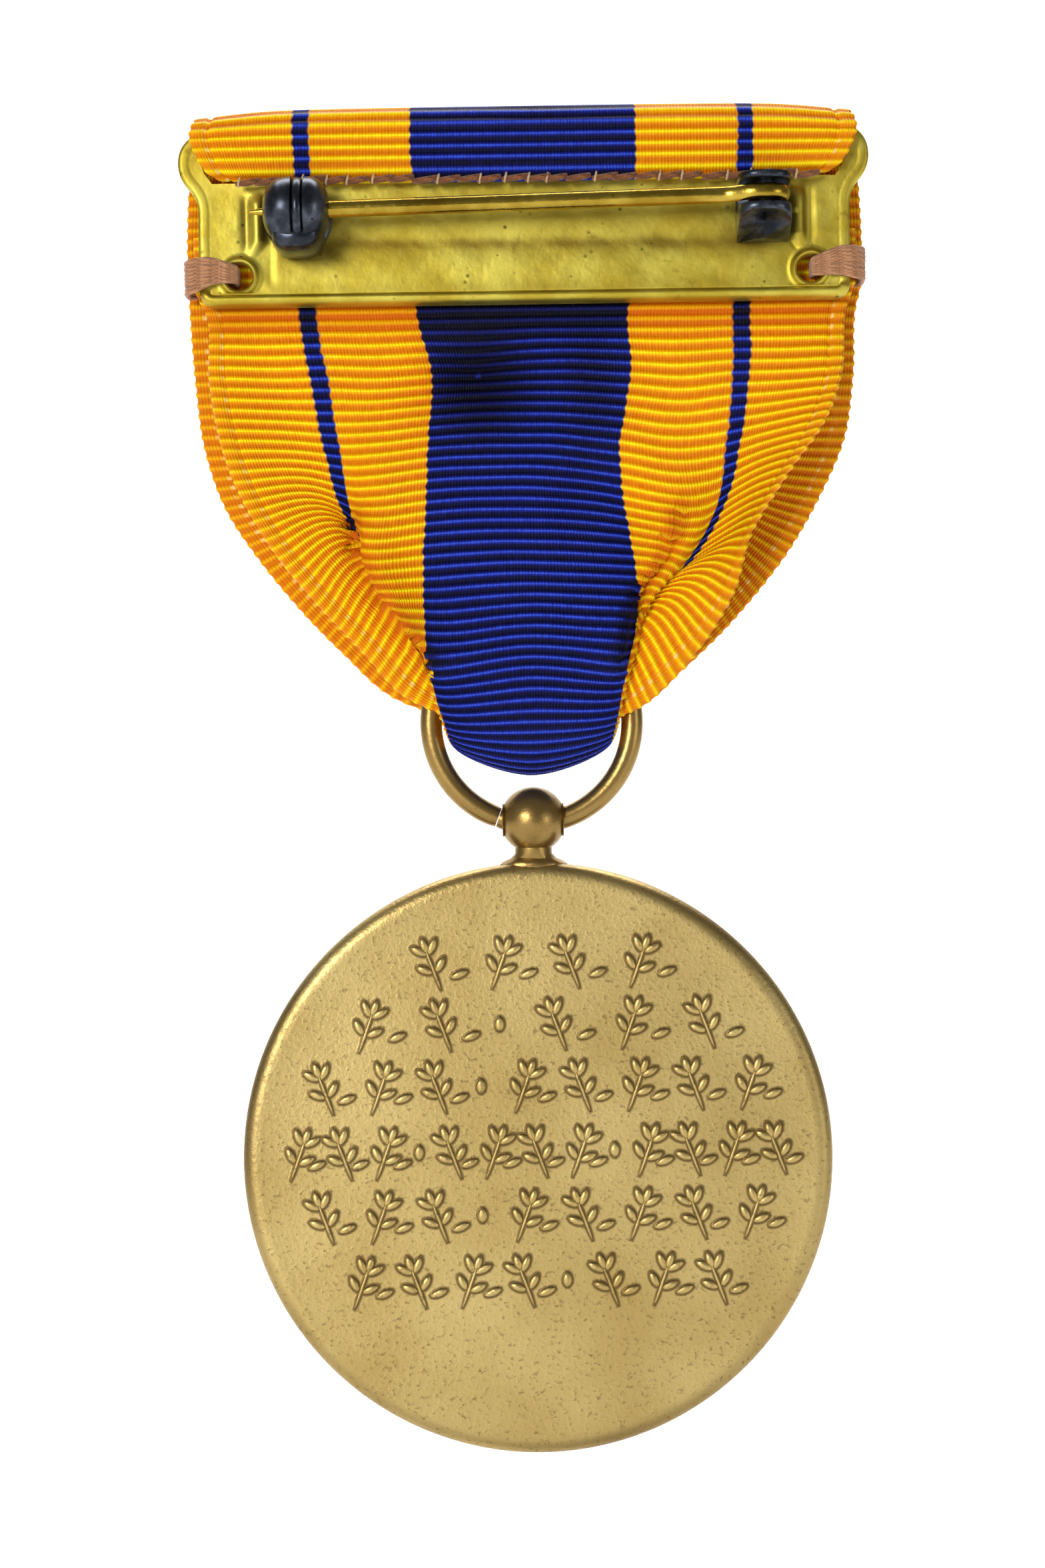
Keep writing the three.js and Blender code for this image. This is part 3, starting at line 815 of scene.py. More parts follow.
    def painted_ribbon_shade(self, points: Array, back: Array) -> Array:
        """How much painted shade the near layer gets: under the plate, in the blue's hollow and along the two
        folds.
        """
        x, z = points[..., 0], points[..., 2]
        dark = 1.0 * np.exp(-(((x + 2.6) / 2.5) ** 2) - ((z + 8.9) / 2.7) ** 2) + 0.75 * step(-7.2, -5.4, z)
        dark += 0.35 * np.exp(-(((x - 3.4) / 1.6) ** 2) - ((z + 9.2) / 3.0) ** 2)
        for (_, down, across), wide in zip(self.folds, (0.55, 0.5)):
            crease = 0.75 * np.exp(-(((x - np.interp(-z, down, across)) / wide) ** 2))
            dark += crease * step(0.4 - down[0], -1.2 - down[0], z) * step(-25.2, -23.6, z)
        return np.clip(dark, 0, 1) * back * step(-4.6, -5.2, z)

    def middle(self, v: Array, along: Array, rows: Array) -> Array:
        """The middle surface at each length v: smooth curves across rows and down columns, then the sway."""
        u = np.linspace(-self.width / 2, self.width / 2, self.columns)
        across = smooth(u, self.knots() * (self.width / 2 / self.lines[-1]), np.swapaxes(rows, 0, 1))
        points = smooth(v, along, np.swapaxes(across, 0, 1))
        hang = (v > along[self.start_row]) & (v < along[self.end_row])
        back = hang & (v < along[self.ring_row])
        points[..., 1] += self.sway(points) * np.where(back, 1.0, np.where(hang, -1.0, 0.0))[:, None]
        return points

    def section(self) -> tuple[Array, Array]:
        """The closed outline of the ribbon's section: one face, a selvage, the other face, the other selvage.

        Returns:
            Each point's place across the ribbon, and its height in halves of the thickness.
        """
        half = self.width / 2
        border = np.array([16.35, 16.55, 16.68, 16.8, 16.95, 17.2, half - 0.16])
        face = np.concatenate([-border[::-1], np.linspace(-15.9, 15.9, 58), border])
        edge = half - np.array([0.08, 0.02, 0.0, 0.02, 0.08])
        lift = np.array([0.85, 0.45, 0.0, -0.45, -0.85])
        under = np.linspace(half - 0.16, -half + 0.16, 30)
        places = np.concatenate([face, edge, under, -edge, face[:1]])
        return places, np.concatenate([np.ones(len(face)), lift, -np.ones(len(under)), -lift, [1.0]])

    def mesh(self) -> bpy.types.Object:
        """Builds the ribbon.

        The two faces stand half the thickness off the middle surface along its normal, and rise once for
        every rib by a rounded cosine. The section closes round both selvages.

        Returns:
            The ribbon's object.
        """
        along, rows = self.stations()
        v = np.linspace(0, along[-1], int(along[-1] / self.rib * self.rows_in_rib))
        middle = self.middle(v, along, rows)
        out = normals(middle)
        half = self.width / 2
        section, offset = self.section()
        place = (section + half) / self.width * (self.columns - 1)
        i = np.clip(place.astype(int), 0, self.columns - 2)
        t = (place - i)[None, :, None]
        surface = middle[:, i] * (1 - t) + middle[:, i + 1] * t
        normal = unit(out[:, i] * (1 - t) + out[:, i + 1] * t)
        phase = TAU * v[:, None] / self.rib + 0.5 * ripple(section[None] * 0.35 + v[:, None] * 0.05, 11, 3)
        cord = (0.5 + 0.5 * np.cos(phase)) ** 0.8
        seam = 0.13 * np.exp(-(((np.abs(section) - 16.72) / 0.13) ** 2))
        height = offset * (self.thickness / 2 + self.rib_height * (cord - 0.5) - seam)
        points = surface + normal * height[..., None]
        beyond = (np.abs(section) > half - 0.1) * np.sign(section)
        sideways = unit(np.gradient(surface, axis=1)) * np.sign(np.gradient(section))[None, :, None]
        points = points + sideways * (beyond * 0.11 * (cord - 0.3))[..., None]
        points = np.concatenate([points[:1].mean(1, keepdims=True).repeat(len(section), 1), points,
                                 points[-1:].mean(1, keepdims=True).repeat(len(section), 1)])
        v = np.concatenate([v[:1], v, v[-1:]])
        uv = np.stack(np.broadcast_arrays(section[None], v[:, None]), -1)
        near = ((v > along[self.start_row - 1]) & (v < along[self.ring_row]))[:, None]
        # Painted shade: a flat 0.4 on the ribbon's other face, and on the near layer a darkening under the
        # plate, in the blue's hollow and along the two folds.
        shade = np.where(offset[None] < -0.5, 0.4, self.painted_ribbon_shade(points, near))
        return Patchwork("ribbon").grid(points, uv, shade).build(sharp=180)

    def dress(self) -> None:
        """Adds the ribbon to the scene."""
        ribbon = self.mesh()
        ribbon.data.materials.append(MoireRibbon().material())
        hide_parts("ribbon_wrap", "ribbon_tail", "ribbon_drop")
        self.length() * MM
        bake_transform(ribbon)
        LOG.info("ribbon: %.1f by %.1f mm", self.width, self.length())


# ---------------------------------------------------------------------------- brooch


@dataclass
class Plate:
    """The stamped plate: a shallow tray with turned-in edges, two ribs, two lipped eyelets and the slot."""

    half: float = 17.35
    ear: float = 18.4
    bottom: float = -5.05
    top: float = 4.6
    sheet: float = 0.5
    rim: float = 1.1
    rib_x: float = 14.38
    rib_shift: float = 0.2
    rib_width: float = 0.52
    rib_ends: tuple[float, float] = (-3.9, 0.75)
    eyelet: Point = (15.2, -3.5, 0.7)
    eyelet_cells: int = 11
    slot_half: float = 16.6
    slot_z: tuple[float, float] = (1.4, 2.7)
    columns: int = 232
    rows: int = 66

    def outline(self) -> tuple[Array, Array, list[int]]:
        """The plate's edge, drawn against the clock as seen from behind.

        Returns:
            Points (n, 2) of x and z, their outward directions, and the places of the four corners.
        """
        h, e, b, t = self.half, self.ear, self.bottom, self.top
        right = [(h, b), (h, 0.7), (e + 0.05, 1.9), (e - 0.05, 3.4), (h - 0.3, t)]
        corners = [(-x, z) for x, z in right[:1]] + right + [(-x, z) for x, z in right[:0:-1]]
        legs = [0.9, 0.9, 0.75, 0.8, 0.65, 0.9, 0.9, 0.65, 0.8, 0.75]
        line = rounded(corners, legs, 12)
        length = np.concatenate([[0], np.cumsum(np.linalg.norm(np.diff(line, axis=0), axis=1))])
        s = np.linspace(0, length[-1], 2401)[:-1]
        line = np.stack([np.interp(s, length, line[:, k]) for k in (0, 1)], -1)
        ahead = np.roll(line, -6, 0) - np.roll(line, 6, 0)
        outward = unit(np.stack([ahead[:, 1], -ahead[:, 0]], -1))
        places = [int(np.argmin(np.linalg.norm(line - np.array(c), axis=1)))
                  for c in ((-h, b), (h, b), (h - 0.3, t), (-h + 0.3, t))]
        return line, outward, places

    def sides(self, inset: float) -> list[Array]:
        """The outline's sides moved inwards: bottom and top from left to right, left and right upwards."""
        line, outward, places = self.outline()
        line = np.roll(line - inset * outward, -places[0], 0)
        turns = [0] + [(p - places[0]) % len(line) for p in places[1:]] + [len(line)]
        line = np.concatenate([line, line[:1]])
        counts = (self.columns, self.rows, self.columns, self.rows)
        runs = [
            np.stack([np.interp(np.linspace(a, b, n), np.arange(len(line)), line[:, k]) for k in (0, 1)], -1)
            for a, b, n in zip(turns[:-1], turns[1:], counts)
        ]
        bottom, right, top, left = runs
        return [bottom, right, top[::-1], left[::-1]]

    def patch(self, inset: float) -> Array:
        """A Coons patch over the inset outline: its sides' ruled surfaces, less the corners' own."""
        bottom, right, top, left = self.sides(inset)
        s = np.linspace(0, 1, self.columns)[None, :, None]
        t = np.linspace(0, 1, self.rows)[:, None, None]
        ruled = (1 - t) * bottom[None] + t * top[None] + (1 - s) * left[:, None] + s * right[:, None]
        low = (1 - s) * (1 - t) * bottom[0] + s * (1 - t) * bottom[-1]
        return ruled - (low + (1 - s) * t * top[0] + s * t * top[-1])

    def loop(self, inset: float) -> Array:
        """The inset outline as one closed run of points that meets the patch's border."""
        bottom, right, top, left = self.sides(inset)
        return np.concatenate([bottom[:-1], right[:-1], top[:0:-1], left[:0:-1], bottom[:1]])

    def relief(self, x: Array, z: Array) -> Array:
        """How far the sheet stands towards +Y at (x, z): ribs forward, a shallow dish and soft dents."""
        low, high = self.rib_ends
        across = np.abs(np.abs(x) - self.rib_x - self.rib_shift * np.sign(x)) / self.rib_width
        end = step(low - 0.25, low + 0.5, z) * step(high + 0.25, high - 0.5, z)
        rib = -0.34 * np.cos(np.clip(across, 0, 1) * math.pi / 2) ** 1.5 * end
        groove = 0.1 * np.exp(-(((across - 1.25) / 0.35) ** 2)) * end
        field_edge = step(13.6, 12.6, np.abs(x))
        dish = 0.07 * np.exp(-(((z + 1.7) / 0.8) ** 2)) * field_edge
        dents = 0.02 * ripple(0.5 * x + 0.6 * z, 21) + 0.008 * ripple(1.9 * x - 1.3 * z, 22)
        edge = step(self.bottom + 0.75, self.bottom + 1.3, z) * step(self.top - 0.75, self.top - 1.3, z)
        side = step(16.75, 16.2, np.abs(x))
        return (rib + groove + dish + dents) * edge * side

    def painted_plate_shade(self, points: Array) -> Array:
        """Painted shade on the brass, kept in the shade attribute: shadows round the catch's and the hinge's
        feet, the pin's shadow in a soft band between them, dark flanks beside each rib, a darker field
        between the ribs and a darker strip along the bottom.
        """
        x, z = points[..., 0], points[..., 2]
        catch = np.exp(-(((x + 11.6) / 2.3) ** 2) - ((z + 2.0) / 1.5) ** 2)
        hinge = np.exp(-(((x - 12.2) / 1.9) ** 2) - ((z + 1.6) / 1.3) ** 2)
        band = np.exp(-(((z + 1.95 + 0.01 * x) / 0.3) ** 2)) * step(-13.0, -9.5, x) * step(13.6, 11.0, x)
        rib_flank_shade = np.exp(-(((np.abs(np.abs(x) - self.rib_x) - 0.5) / 0.14) ** 2))
        rib_flank_shade *= step(-4.1, -3.6, z) * step(1.0, 0.6, z)
        low = 0.3 * step(-3.6, -4.3, z) + 0.28 * step(13.9, 13.0, np.abs(x)) * step(-3.2, -2.4, z)
        cloud = 0.75 + 0.35 * ripple(1.3 * x + 2.1 * z, 61)
        return np.clip((0.9 * catch + 0.6 * hinge + 0.95 * band + low) * cloud + 0.9 * rib_flank_shade, 0, 1)

    def ring(self, points: Array, i: tuple[int, int], j: tuple[int, int]) -> Array:
        """The border of a block of a grid, once round from its lowest left corner."""
        (i0, i1), (j0, j1) = i, j
        runs = (points[i0, j0:j1], points[i0:i1, j1], points[i1, j1:j0:-1], points[i1:i0:-1, j0])
        return np.concatenate([*runs, points[i0 : i0 + 1, j0]])

    def mesh(self) -> bpy.types.Object:
        """Builds the plate.

        The two faces are Coons patches that follow the relief, with blocks of cells left out for the
        openings. A band of inset outlines joins them round the rolled edge, and each opening is closed by
        rings that run from its block's border to the hole, through the sheet and out to the other face.

        Returns:
            The plate's object.
        """
        plate = Patchwork("brooch_plate_brass")
        rolled = [(0.66, 0.0), (0.6, 0.03), (0.54, -0.1), (0.42, -0.22), (0.26, -0.22), (0.12, -0.12),
                  (0.02, 0.1), (0.0, 0.4), (0.0, 0.95), (0.08, self.rim), (0.4, self.rim), (0.48, 1.0),
                  (0.5, 0.66), (0.6, self.sheet)]
        back, front = self.patch(rolled[0][0]), self.patch(rolled[-1][0])
        faces = [
            np.stack([flat[..., 0], depth + self.relief(flat[..., 0], flat[..., 1]), flat[..., 1]], -1)
            for flat, depth in ((back, 0.0), (front, self.sheet))
        ]
        bands = []
        for inset, depth in rolled:
            line = self.loop(inset)
            rise = np.where(depth < 0.05, 0.1 + 0.9 * step(-4.2, -4.5, line[:, 1]), 1.0)
            bands.append(np.stack([line[:, 0], depth * rise, line[:, 1]], -1))
        bands[0][:, 1] = self.relief(bands[0][:, 0], bands[0][:, 2])
        bands[-1][:, 1] = self.sheet + self.relief(bands[-1][:, 0], bands[-1][:, 2])
        plate.grid(np.stack(bands))
        keep = np.ones((self.rows - 1, self.columns - 1), bool)
        holes = [self.opening(faces, keep, side.value) for side in Side] + [self.slot(faces, keep)]
        # The back face carries the brass's painted shade in its shade attribute: shadows of the catch, hinge
        # and pin, dark rib flanks and a darker field.
        plate.grid(faces[0], shade=self.painted_plate_shade(faces[0]), keep=keep, flip=True).grid(faces[1], keep=keep)
        for hole in holes:
            plate.grid(hole, flip=True)
        return plate.build(sharp=55)

    def opening(self, faces: list[Array], keep: Array, side: int) -> Array:
        """Leaves out the cells round an eyelet and gives the rings that close it, lip and bore included."""
        x, z, radius = self.eyelet
        x *= side
        back = faces[0]
        j = int(np.argmin(np.abs(back[self.rows // 4, :, 0] - x)))
        i = int(np.argmin(np.abs(back[:, j, 2] - z)))
        n = self.eyelet_cells
        low, high = max(i - n, 1), i + n
        block = ((low, high), (j - n, j + n))
        keep[low:high, j - n : j + n] = False
        outer, inner = (self.ring(face, *block) for face in faces)
        centre = np.array([x, 0.0, z])
        flat = outer * [1, 0, 1]
        way = unit(flat - centre)
        reach = np.minimum(np.linalg.norm(flat - centre, axis=1, keepdims=True), 1.42)
        lip = [(1.34, 0.03), (1.12, 0.02), (1.04, -0.06), (0.97, -0.2), (0.88, -0.26), (0.79, -0.22),
               (0.72, -0.06), (radius, 0.2), (radius, self.sheet)]
        rings = [outer] + [centre + way * np.minimum(reach, r) + [0, y, 0] for r, y in lip] + [inner]
        return np.stack(rings)

    def slot(self, faces: list[Array], keep: Array) -> Array:
        """Leaves out the cells where the ribbon goes through and gives the short wall between the faces."""
        z = faces[0][:, self.columns // 2, 2]
        low, high = (int(np.argmin(np.abs(z - end))) for end in self.slot_z)
        x = faces[0][low, :, 0]
        left, right = (int(np.argmin(np.abs(x - end))) for end in (-self.slot_half, self.slot_half))
        keep[low:high, left:right] = False
        return np.stack([self.ring(face, (low, high), (left, right)) for face in faces])

    def dress(self, brass: bpy.types.Material) -> None:
        """Adds the plate to the scene."""
        settle(self.mesh(), "brooch", brass, ("brooch_plate",))


@dataclass
class Catch:
    """The ball catch: two domes on a round foot, and the lock wheel that turns between them."""

    x: float = -11.98
    pin_y: float = -2.1
    pin_z: float = -0.41
    radius: float = 1.75
    bore: float = 0.54
    left_end: float = -13.74
    right_end: float = -10.22
    wheel: tuple[float, float] = (-12.1, -11.62)
    foot_z: float = -0.62
    foot_radius: float = 1.78

    def dome(self, pole: float, face: float) -> Array:
        """One dome, closed round its bore.

        Its radius is a superellipse, R (1 - t^2.5)^(1 / 2.5), from the flat face at t = 0 to the far end.
        """
        t = np.linspace(0.0, 0.968, 18)
        radius = self.radius * (1 - t**2.5) ** (1 / 2.5)
        x = face + (pole - face) * t
        lip = [(self.bore + 0.08, x[-1]), (self.bore, x[-1] - 0.1 * np.sign(pole - face))]
        back = np.sign(pole - face)
        rim = [(self.radius - 0.09, face - 0.05 * back), (self.bore, face - 0.05 * back)]
        profile = [rim[1], rim[0]] + list(zip(radius, x)) + lip + [rim[1]]
        return turned(np.array(profile), (0, self.pin_y, self.pin_z), "x", 72)

    def housing(self) -> bpy.types.Object:
        """Builds both domes, the hub between them, the squared seat below them and the foot on the plate."""
        piece = Patchwork("catch_domes")
        piece.shell(self.dome(self.left_end, self.wheel[0] - 0.1))
        piece.shell(self.dome(self.right_end, self.wheel[1] + 0.1))
        hub = np.array([(0.0, self.wheel[0] - 0.5), (1.12, self.wheel[0] - 0.5), (1.12, self.wheel[1] + 0.5),
                        (0.0, self.wheel[1] + 0.5)])
        piece.shell(turned(hub, (0, self.pin_y, self.pin_z), "x", 40))
        r = self.foot_radius
        foot = np.array([(0.0, -0.04), (r, -0.04), (r + 0.02, -0.3), (r - 0.06, -0.52), (r - 0.35, -0.66),
                         (1.3, -0.72), (1.22, -1.3), (1.22, -1.9), (0.0, -1.9)])
        piece.shell(turned(foot, (self.x, 0, self.foot_z), "y", 64))
        top, low = -1.1, -2.68
        corners = [(self.left_end + 0.32, top), (self.right_end - 0.3, top), (self.right_end - 0.42, low),
                   (self.left_end + 0.5, low)]
        seat = rounded(corners, [0.3, 0.3, 1.1, 1.0], 8)
        grid = slab(seat, [(-0.35, 0.1), (-0.5, 0.02), (-1.4, 0.0), (-2.3, 0.06), (-2.9, 0.22), (-3.1, 0.42)])
        piece.shell(grid[..., [0, 2, 1]])
        return piece.build(sharp=50)

    def lock(self) -> bpy.types.Object:
        """Builds the lock wheel: a disc with a rounded edge, notched at its top where the pin goes in."""
        a, b = self.wheel
        turn = np.linspace(0, TAU, 97)
        open_at = np.abs((turn - math.pi / 2 + math.pi) % TAU - math.pi)
        edge = np.where(open_at < 0.24, 0.86, 1.0)
        profile = np.array([(1.1, a), (1.62, a), (1.7, a + 0.06), (1.73, (a + b) / 2), (1.7, b - 0.06),
                            (1.62, b), (1.1, b), (1.1, a)])
        grid = turned(profile, (0, 0, 0), "x", 96)
        grid[..., 1:] *= edge[None, :, None]
        centre = np.array([0, self.pin_y, self.pin_z])
        return Patchwork("catch_lock_wheel").shell(grid + centre).build(sharp=50)

    def dress(self, steel: bpy.types.Material) -> None:
        """Adds the catch to the scene."""
        settle(self.housing(), "brooch", steel, ("catch_housing",))
        settle(self.lock(), "lock", steel, ("catch_wheel",))


@dataclass
class Hinge:
    """The hinge: a thin round cheek above the pin, a wedge-shaped one below, and the rivet through both."""

    x: float = 12.65
    pin_y: float = -2.1
    pin_z: float = 0.1
    half: float = 1.4

    def cheek(self, low: float, high: float, slope: float, reach: float) -> Array:
        """A cheek seen from above as a round-ended tongue, its lower face sloping up towards its end.

        Args:
            low: the lower face's height at the plate.
            high: the upper face's height.
            slope: how much the lower face rises towards the tongue's end.
            reach: how far the tongue's end stands off the plate.

        Returns:
            A closed grid of the tongue.
        """
        corners = [(-self.half, 0.04), (self.half, 0.04), (self.half, -reach), (-self.half, -reach)]
        line = rounded([(self.x + a, b) for a, b in corners], [0.05, 0.05, 1.25, 1.25], 10)
        out = np.clip((-line[:, 1] - 0.7) / (reach - 0.7), 0, 1)
        levels = [(high, 0.1), (high, 0.03), (high - 0.05, 0.0), (low + 0.08, 0.0), (low + 0.02, 0.04),
                  (low, 0.14)]
        grid = slab(line, levels)
        under = grid[..., 2] < (low + high) / 2
        grid[..., 2] += under * slope * out[None]
        return grid

    def bracket(self) -> bpy.types.Object:
        """Builds the two cheeks and the foot between them."""
        piece = Patchwork("hinge_cheeks")
        z = self.pin_z
        piece.shell(self.cheek(z + 0.66, z + 1.02, 0.0, 3.35))
        piece.shell(self.cheek(z - 2.2, z - 0.62, 1.18, 3.4))
        left, right = self.x - self.half, self.x + self.half
        corners = [(left, z - 2.1), (right, z - 2.1), (right, z + 1.0), (left, z + 1.0)]
        foot = rounded(corners, [0.7, 0.7, 0.3, 0.3], 6)
        piece.shell(slab(foot, [(0.04, 0.0), (-0.22, 0.0), (-0.32, 0.1)])[..., [0, 2, 1]])
        return piece.build(sharp=45)

    def rivet(self) -> bpy.types.Object:
        """Builds the rivet, whose head stands on the upper cheek."""
        shank = np.array([(0.0, -1.02), (0.3, -1.02), (0.4, -0.95), (0.4, 1.02), (0.36, 1.12), (0.2, 1.17),
                          (0.0, 1.18)])
        grid = turned(shank, (self.x, self.pin_y, self.pin_z), "z", 28)
        return Patchwork("hinge_rivet_head").shell(grid).build(sharp=50)

    def dress(self, steel: bpy.types.Material) -> None:
        """Adds the hinge to the scene."""
        settle(self.bracket(), "brooch", steel, ("hinge_bracket",))
        settle(self.rivet(), "pin_pivot", steel, ("hinge_rivet",))


@dataclass
class Pin:
    """The sprung pin: a wire ground to a point, flattened into a strap that wraps the hinge's rivet."""

    tip: float = -14.6
    hinge: float = 12.65
    y: float = -2.1
    z: float = 0.1
    radius: float = 0.44
    slope: float = 0.021
    strap_out: float = 0.72
    curl_radius: float = 0.78
    curl_turn: float = 2.2

    def stem(self) -> bpy.types.Object:
        """Builds the wire and its strap as one sweep whose section grows flatter and wider near the hinge."""
        curl = 12.95
        x = np.concatenate([np.linspace(self.tip, -9.5, 22), np.linspace(-9.2, 9.4, 40),
                            np.linspace(9.6, curl, 14)])
        taper = np.clip((x - self.tip) / 4.2, 0, 1)
        radius = self.radius * (1 - (1 - taper) ** 2.0) ** 0.75 + 0.01
        leaf = step(9.0, 11.6, x)
        bow = 0.05 * np.sin((x + 3) / 12) + self.strap_out * step(10.4, 12.2, x)
        path = np.stack([x, self.y - bow, self.z - self.slope * np.maximum(self.hinge - x, 0)], -1)
        turn = np.linspace(0, 1, 12)[1:]
        angle = turn * self.curl_turn
        bend = np.stack([curl + self.curl_radius * np.sin(angle),
                         self.y - self.strap_out + self.curl_radius * (1 - np.cos(angle)),
                         np.full(len(turn), self.z)], -1)
        path = np.concatenate([path, bend])
        radius = np.concatenate([radius, np.full(11, self.radius)])
        leaf = np.concatenate([leaf, np.ones(11)])
        grid = tube(path, radius, 24, (0, 0, 1), capped=True)
        wide = np.concatenate([leaf[:1], leaf, leaf[-1:]])[:, None]
        centre = np.concatenate([path[:1], path, path[-1:]])[:, None]
        off = grid - centre
        along = unit(np.gradient(centre, axis=0))
        normal = np.cross(along, np.array([0, 0, 1.0]))
        thin = (off * normal).sum(-1, keepdims=True) * normal
        grid = centre + off - thin * (0.42 * wide)[..., None]
        grid[..., 2] = centre[..., 2] + (grid[..., 2] - centre[..., 2]) * (1 - 0.06 * wide)
        eye = np.array([(0.48, -0.4), (0.86, -0.4), (0.92, -0.34), (0.92, 0.34), (0.86, 0.4), (0.48, 0.4),
                        (0.48, -0.4)])
        piece = Patchwork("pin_wire").shell(grid)
        return piece.shell(turned(eye, (self.hinge, self.y, self.z), "z", 36)).build(sharp=60)

    def dress(self, brass: bpy.types.Material) -> None:
        """Adds the pin to the scene."""
        settle(self.stem(), "pin", brass, ("pin_stem",))


@dataclass
class Sewing:
    """The threads: whip stitches along the flap's lower edge, and a tie of strands through each eyelet."""

    seam: tuple[float, float] = (-15.3, 15.2)
    seam_z: float = 1.42
    pitch: float = 1.18
    eyelet: tuple[float, float] = (15.2, -3.5)
    strands: int = 9

    def strand(
        self, path: Array, radius: float | Array, count: int = 10, up: Point = (0, 1, 0), capped: bool = True
    ) -> tuple[Array, Array]:
        """A strand's grid, and its own map: turns round the strand, and millimetres along it over 0.9."""
        grid = tube(path, radius, count, up, capped=capped)
        length = np.concatenate([[0], np.cumsum(np.linalg.norm(np.diff(path, axis=0), axis=1))])
        if capped:
            length = np.concatenate([length[:1], length, length[-1:]])
        uv = np.stack(np.broadcast_arrays(np.linspace(0, 1, count + 1)[None], length[:, None] / 0.9), -1)
        return grid, uv

    def stitches(
        self, name: str, first: float, slant: float, rise: float, radius: float, lift: float,
        share: float = 1.0,
    ) -> bpy.types.Object:
        """Builds a row of slanted stitches: each is an arch that leaves the cloth, leans, and goes in again.

        Args:
            name: the piece's name.
            first: where the first stitch starts along the seam.
            slant: how far each one runs along the seam, as a share of a stitch.
            rise: how far it climbs from end to end.
            radius: the thread's radius.
            lift: how far the arch stands off the cloth.
            share: how many of the stitches show, as a share of them all.

        Returns:
            The row as one piece.
        """
        piece = Patchwork(name)
        draw = np.random.default_rng(17)
        t = np.linspace(0, 1, 9)
        for x in np.arange(self.seam[0] + first, self.seam[1] - 0.6, self.pitch):
            dx, dz, long = draw.uniform(-0.12, 0.12), draw.uniform(-0.06, 0.06), draw.uniform(1.15, 1.4)
            if draw.random() > share:
                continue
            path = np.stack([x + dx + slant * long * t, -0.74 - lift * np.sin(t * math.pi) ** 0.7,
                             self.seam_z + dz + rise * (t - 0.5) - 0.06 * np.sin(t * math.pi)], -1)
            piece.shell(*self.strand(path, radius * (0.75 + 0.25 * np.sin(t * math.pi))))
        return piece.build(sharp=80)

    def tie(self, side: Side) -> bpy.types.Object:
        """Builds one tie: strands that come out of the eyelet close together, fan out over the plate's edge,
        and go back between the layers, each a rounded loop."""
        piece = Patchwork(f"tie_{side.name.lower()}")
        inner, outer = self.eyelet[0] + 0.15, 18.02
        corners = [(inner, -0.36), (outer, -0.42), (outer + 0.02, 1.86), (inner, 1.5)]
        loop = rounded(corners, [0.5, 0.75, 0.5, 0.3], 8)
        length = np.concatenate([[0], np.cumsum(np.linalg.norm(np.diff(loop, axis=0), axis=1))])
        s = np.linspace(0, length[-1], 57)
        x, y = (np.interp(s, length, loop[:, k]) for k in (0, 1))
        fan = step(inner, outer, x)
        draw = np.random.default_rng(5 + side.value)
        for k in range(self.strands):
            place = (k - (self.strands - 1) / 2) / ((self.strands - 1) / 2)
            wave = 0.04 * np.sin(TAU * s / length[-1] * 2 + draw.uniform(0, TAU))
            lift = draw.uniform(-0.07, 0.05) * np.sin(TAU * s / length[-1]) ** 2
            arch = 0.18 * np.sin(math.pi * np.clip(fan, 0, 1)) * (y < 0.5)
            spread = place * (0.36 + 0.44 * fan**0.8)
            z = self.eyelet[1] + 0.1 + spread + wave + 0.12 * fan * side.value + arch
            path = np.stack([side.value * (x + lift * 0.5), y - lift * (y < 0.5), z], -1)
            piece.shell(*self.strand(path, 0.14, 10, (0, 0, 1), capped=False))
        return piece.build(sharp=80)

    def dress(self, buff: bpy.types.Material, brown: bpy.types.Material, cream: bpy.types.Material) -> None:
        """Adds all the threads to the scene."""
        rope = self.stitches("seam_stitches", 0.0, 1.0, 0.2, 0.18, 0.16)
        settle(rope, "brooch", brown, ("seam_thread",))
        ticks = self.stitches("seam_ticks", 0.1, 0.08, 0.5, 0.07, 0.2, 0.6)
        settle(ticks, "brooch", cream)
        for side in Side:
            name = f"tie_thread_{side.name.lower()}"
            settle(self.tie(side), "brooch", buff, (name,))


# ---------------------------------------------------------------------------- medal


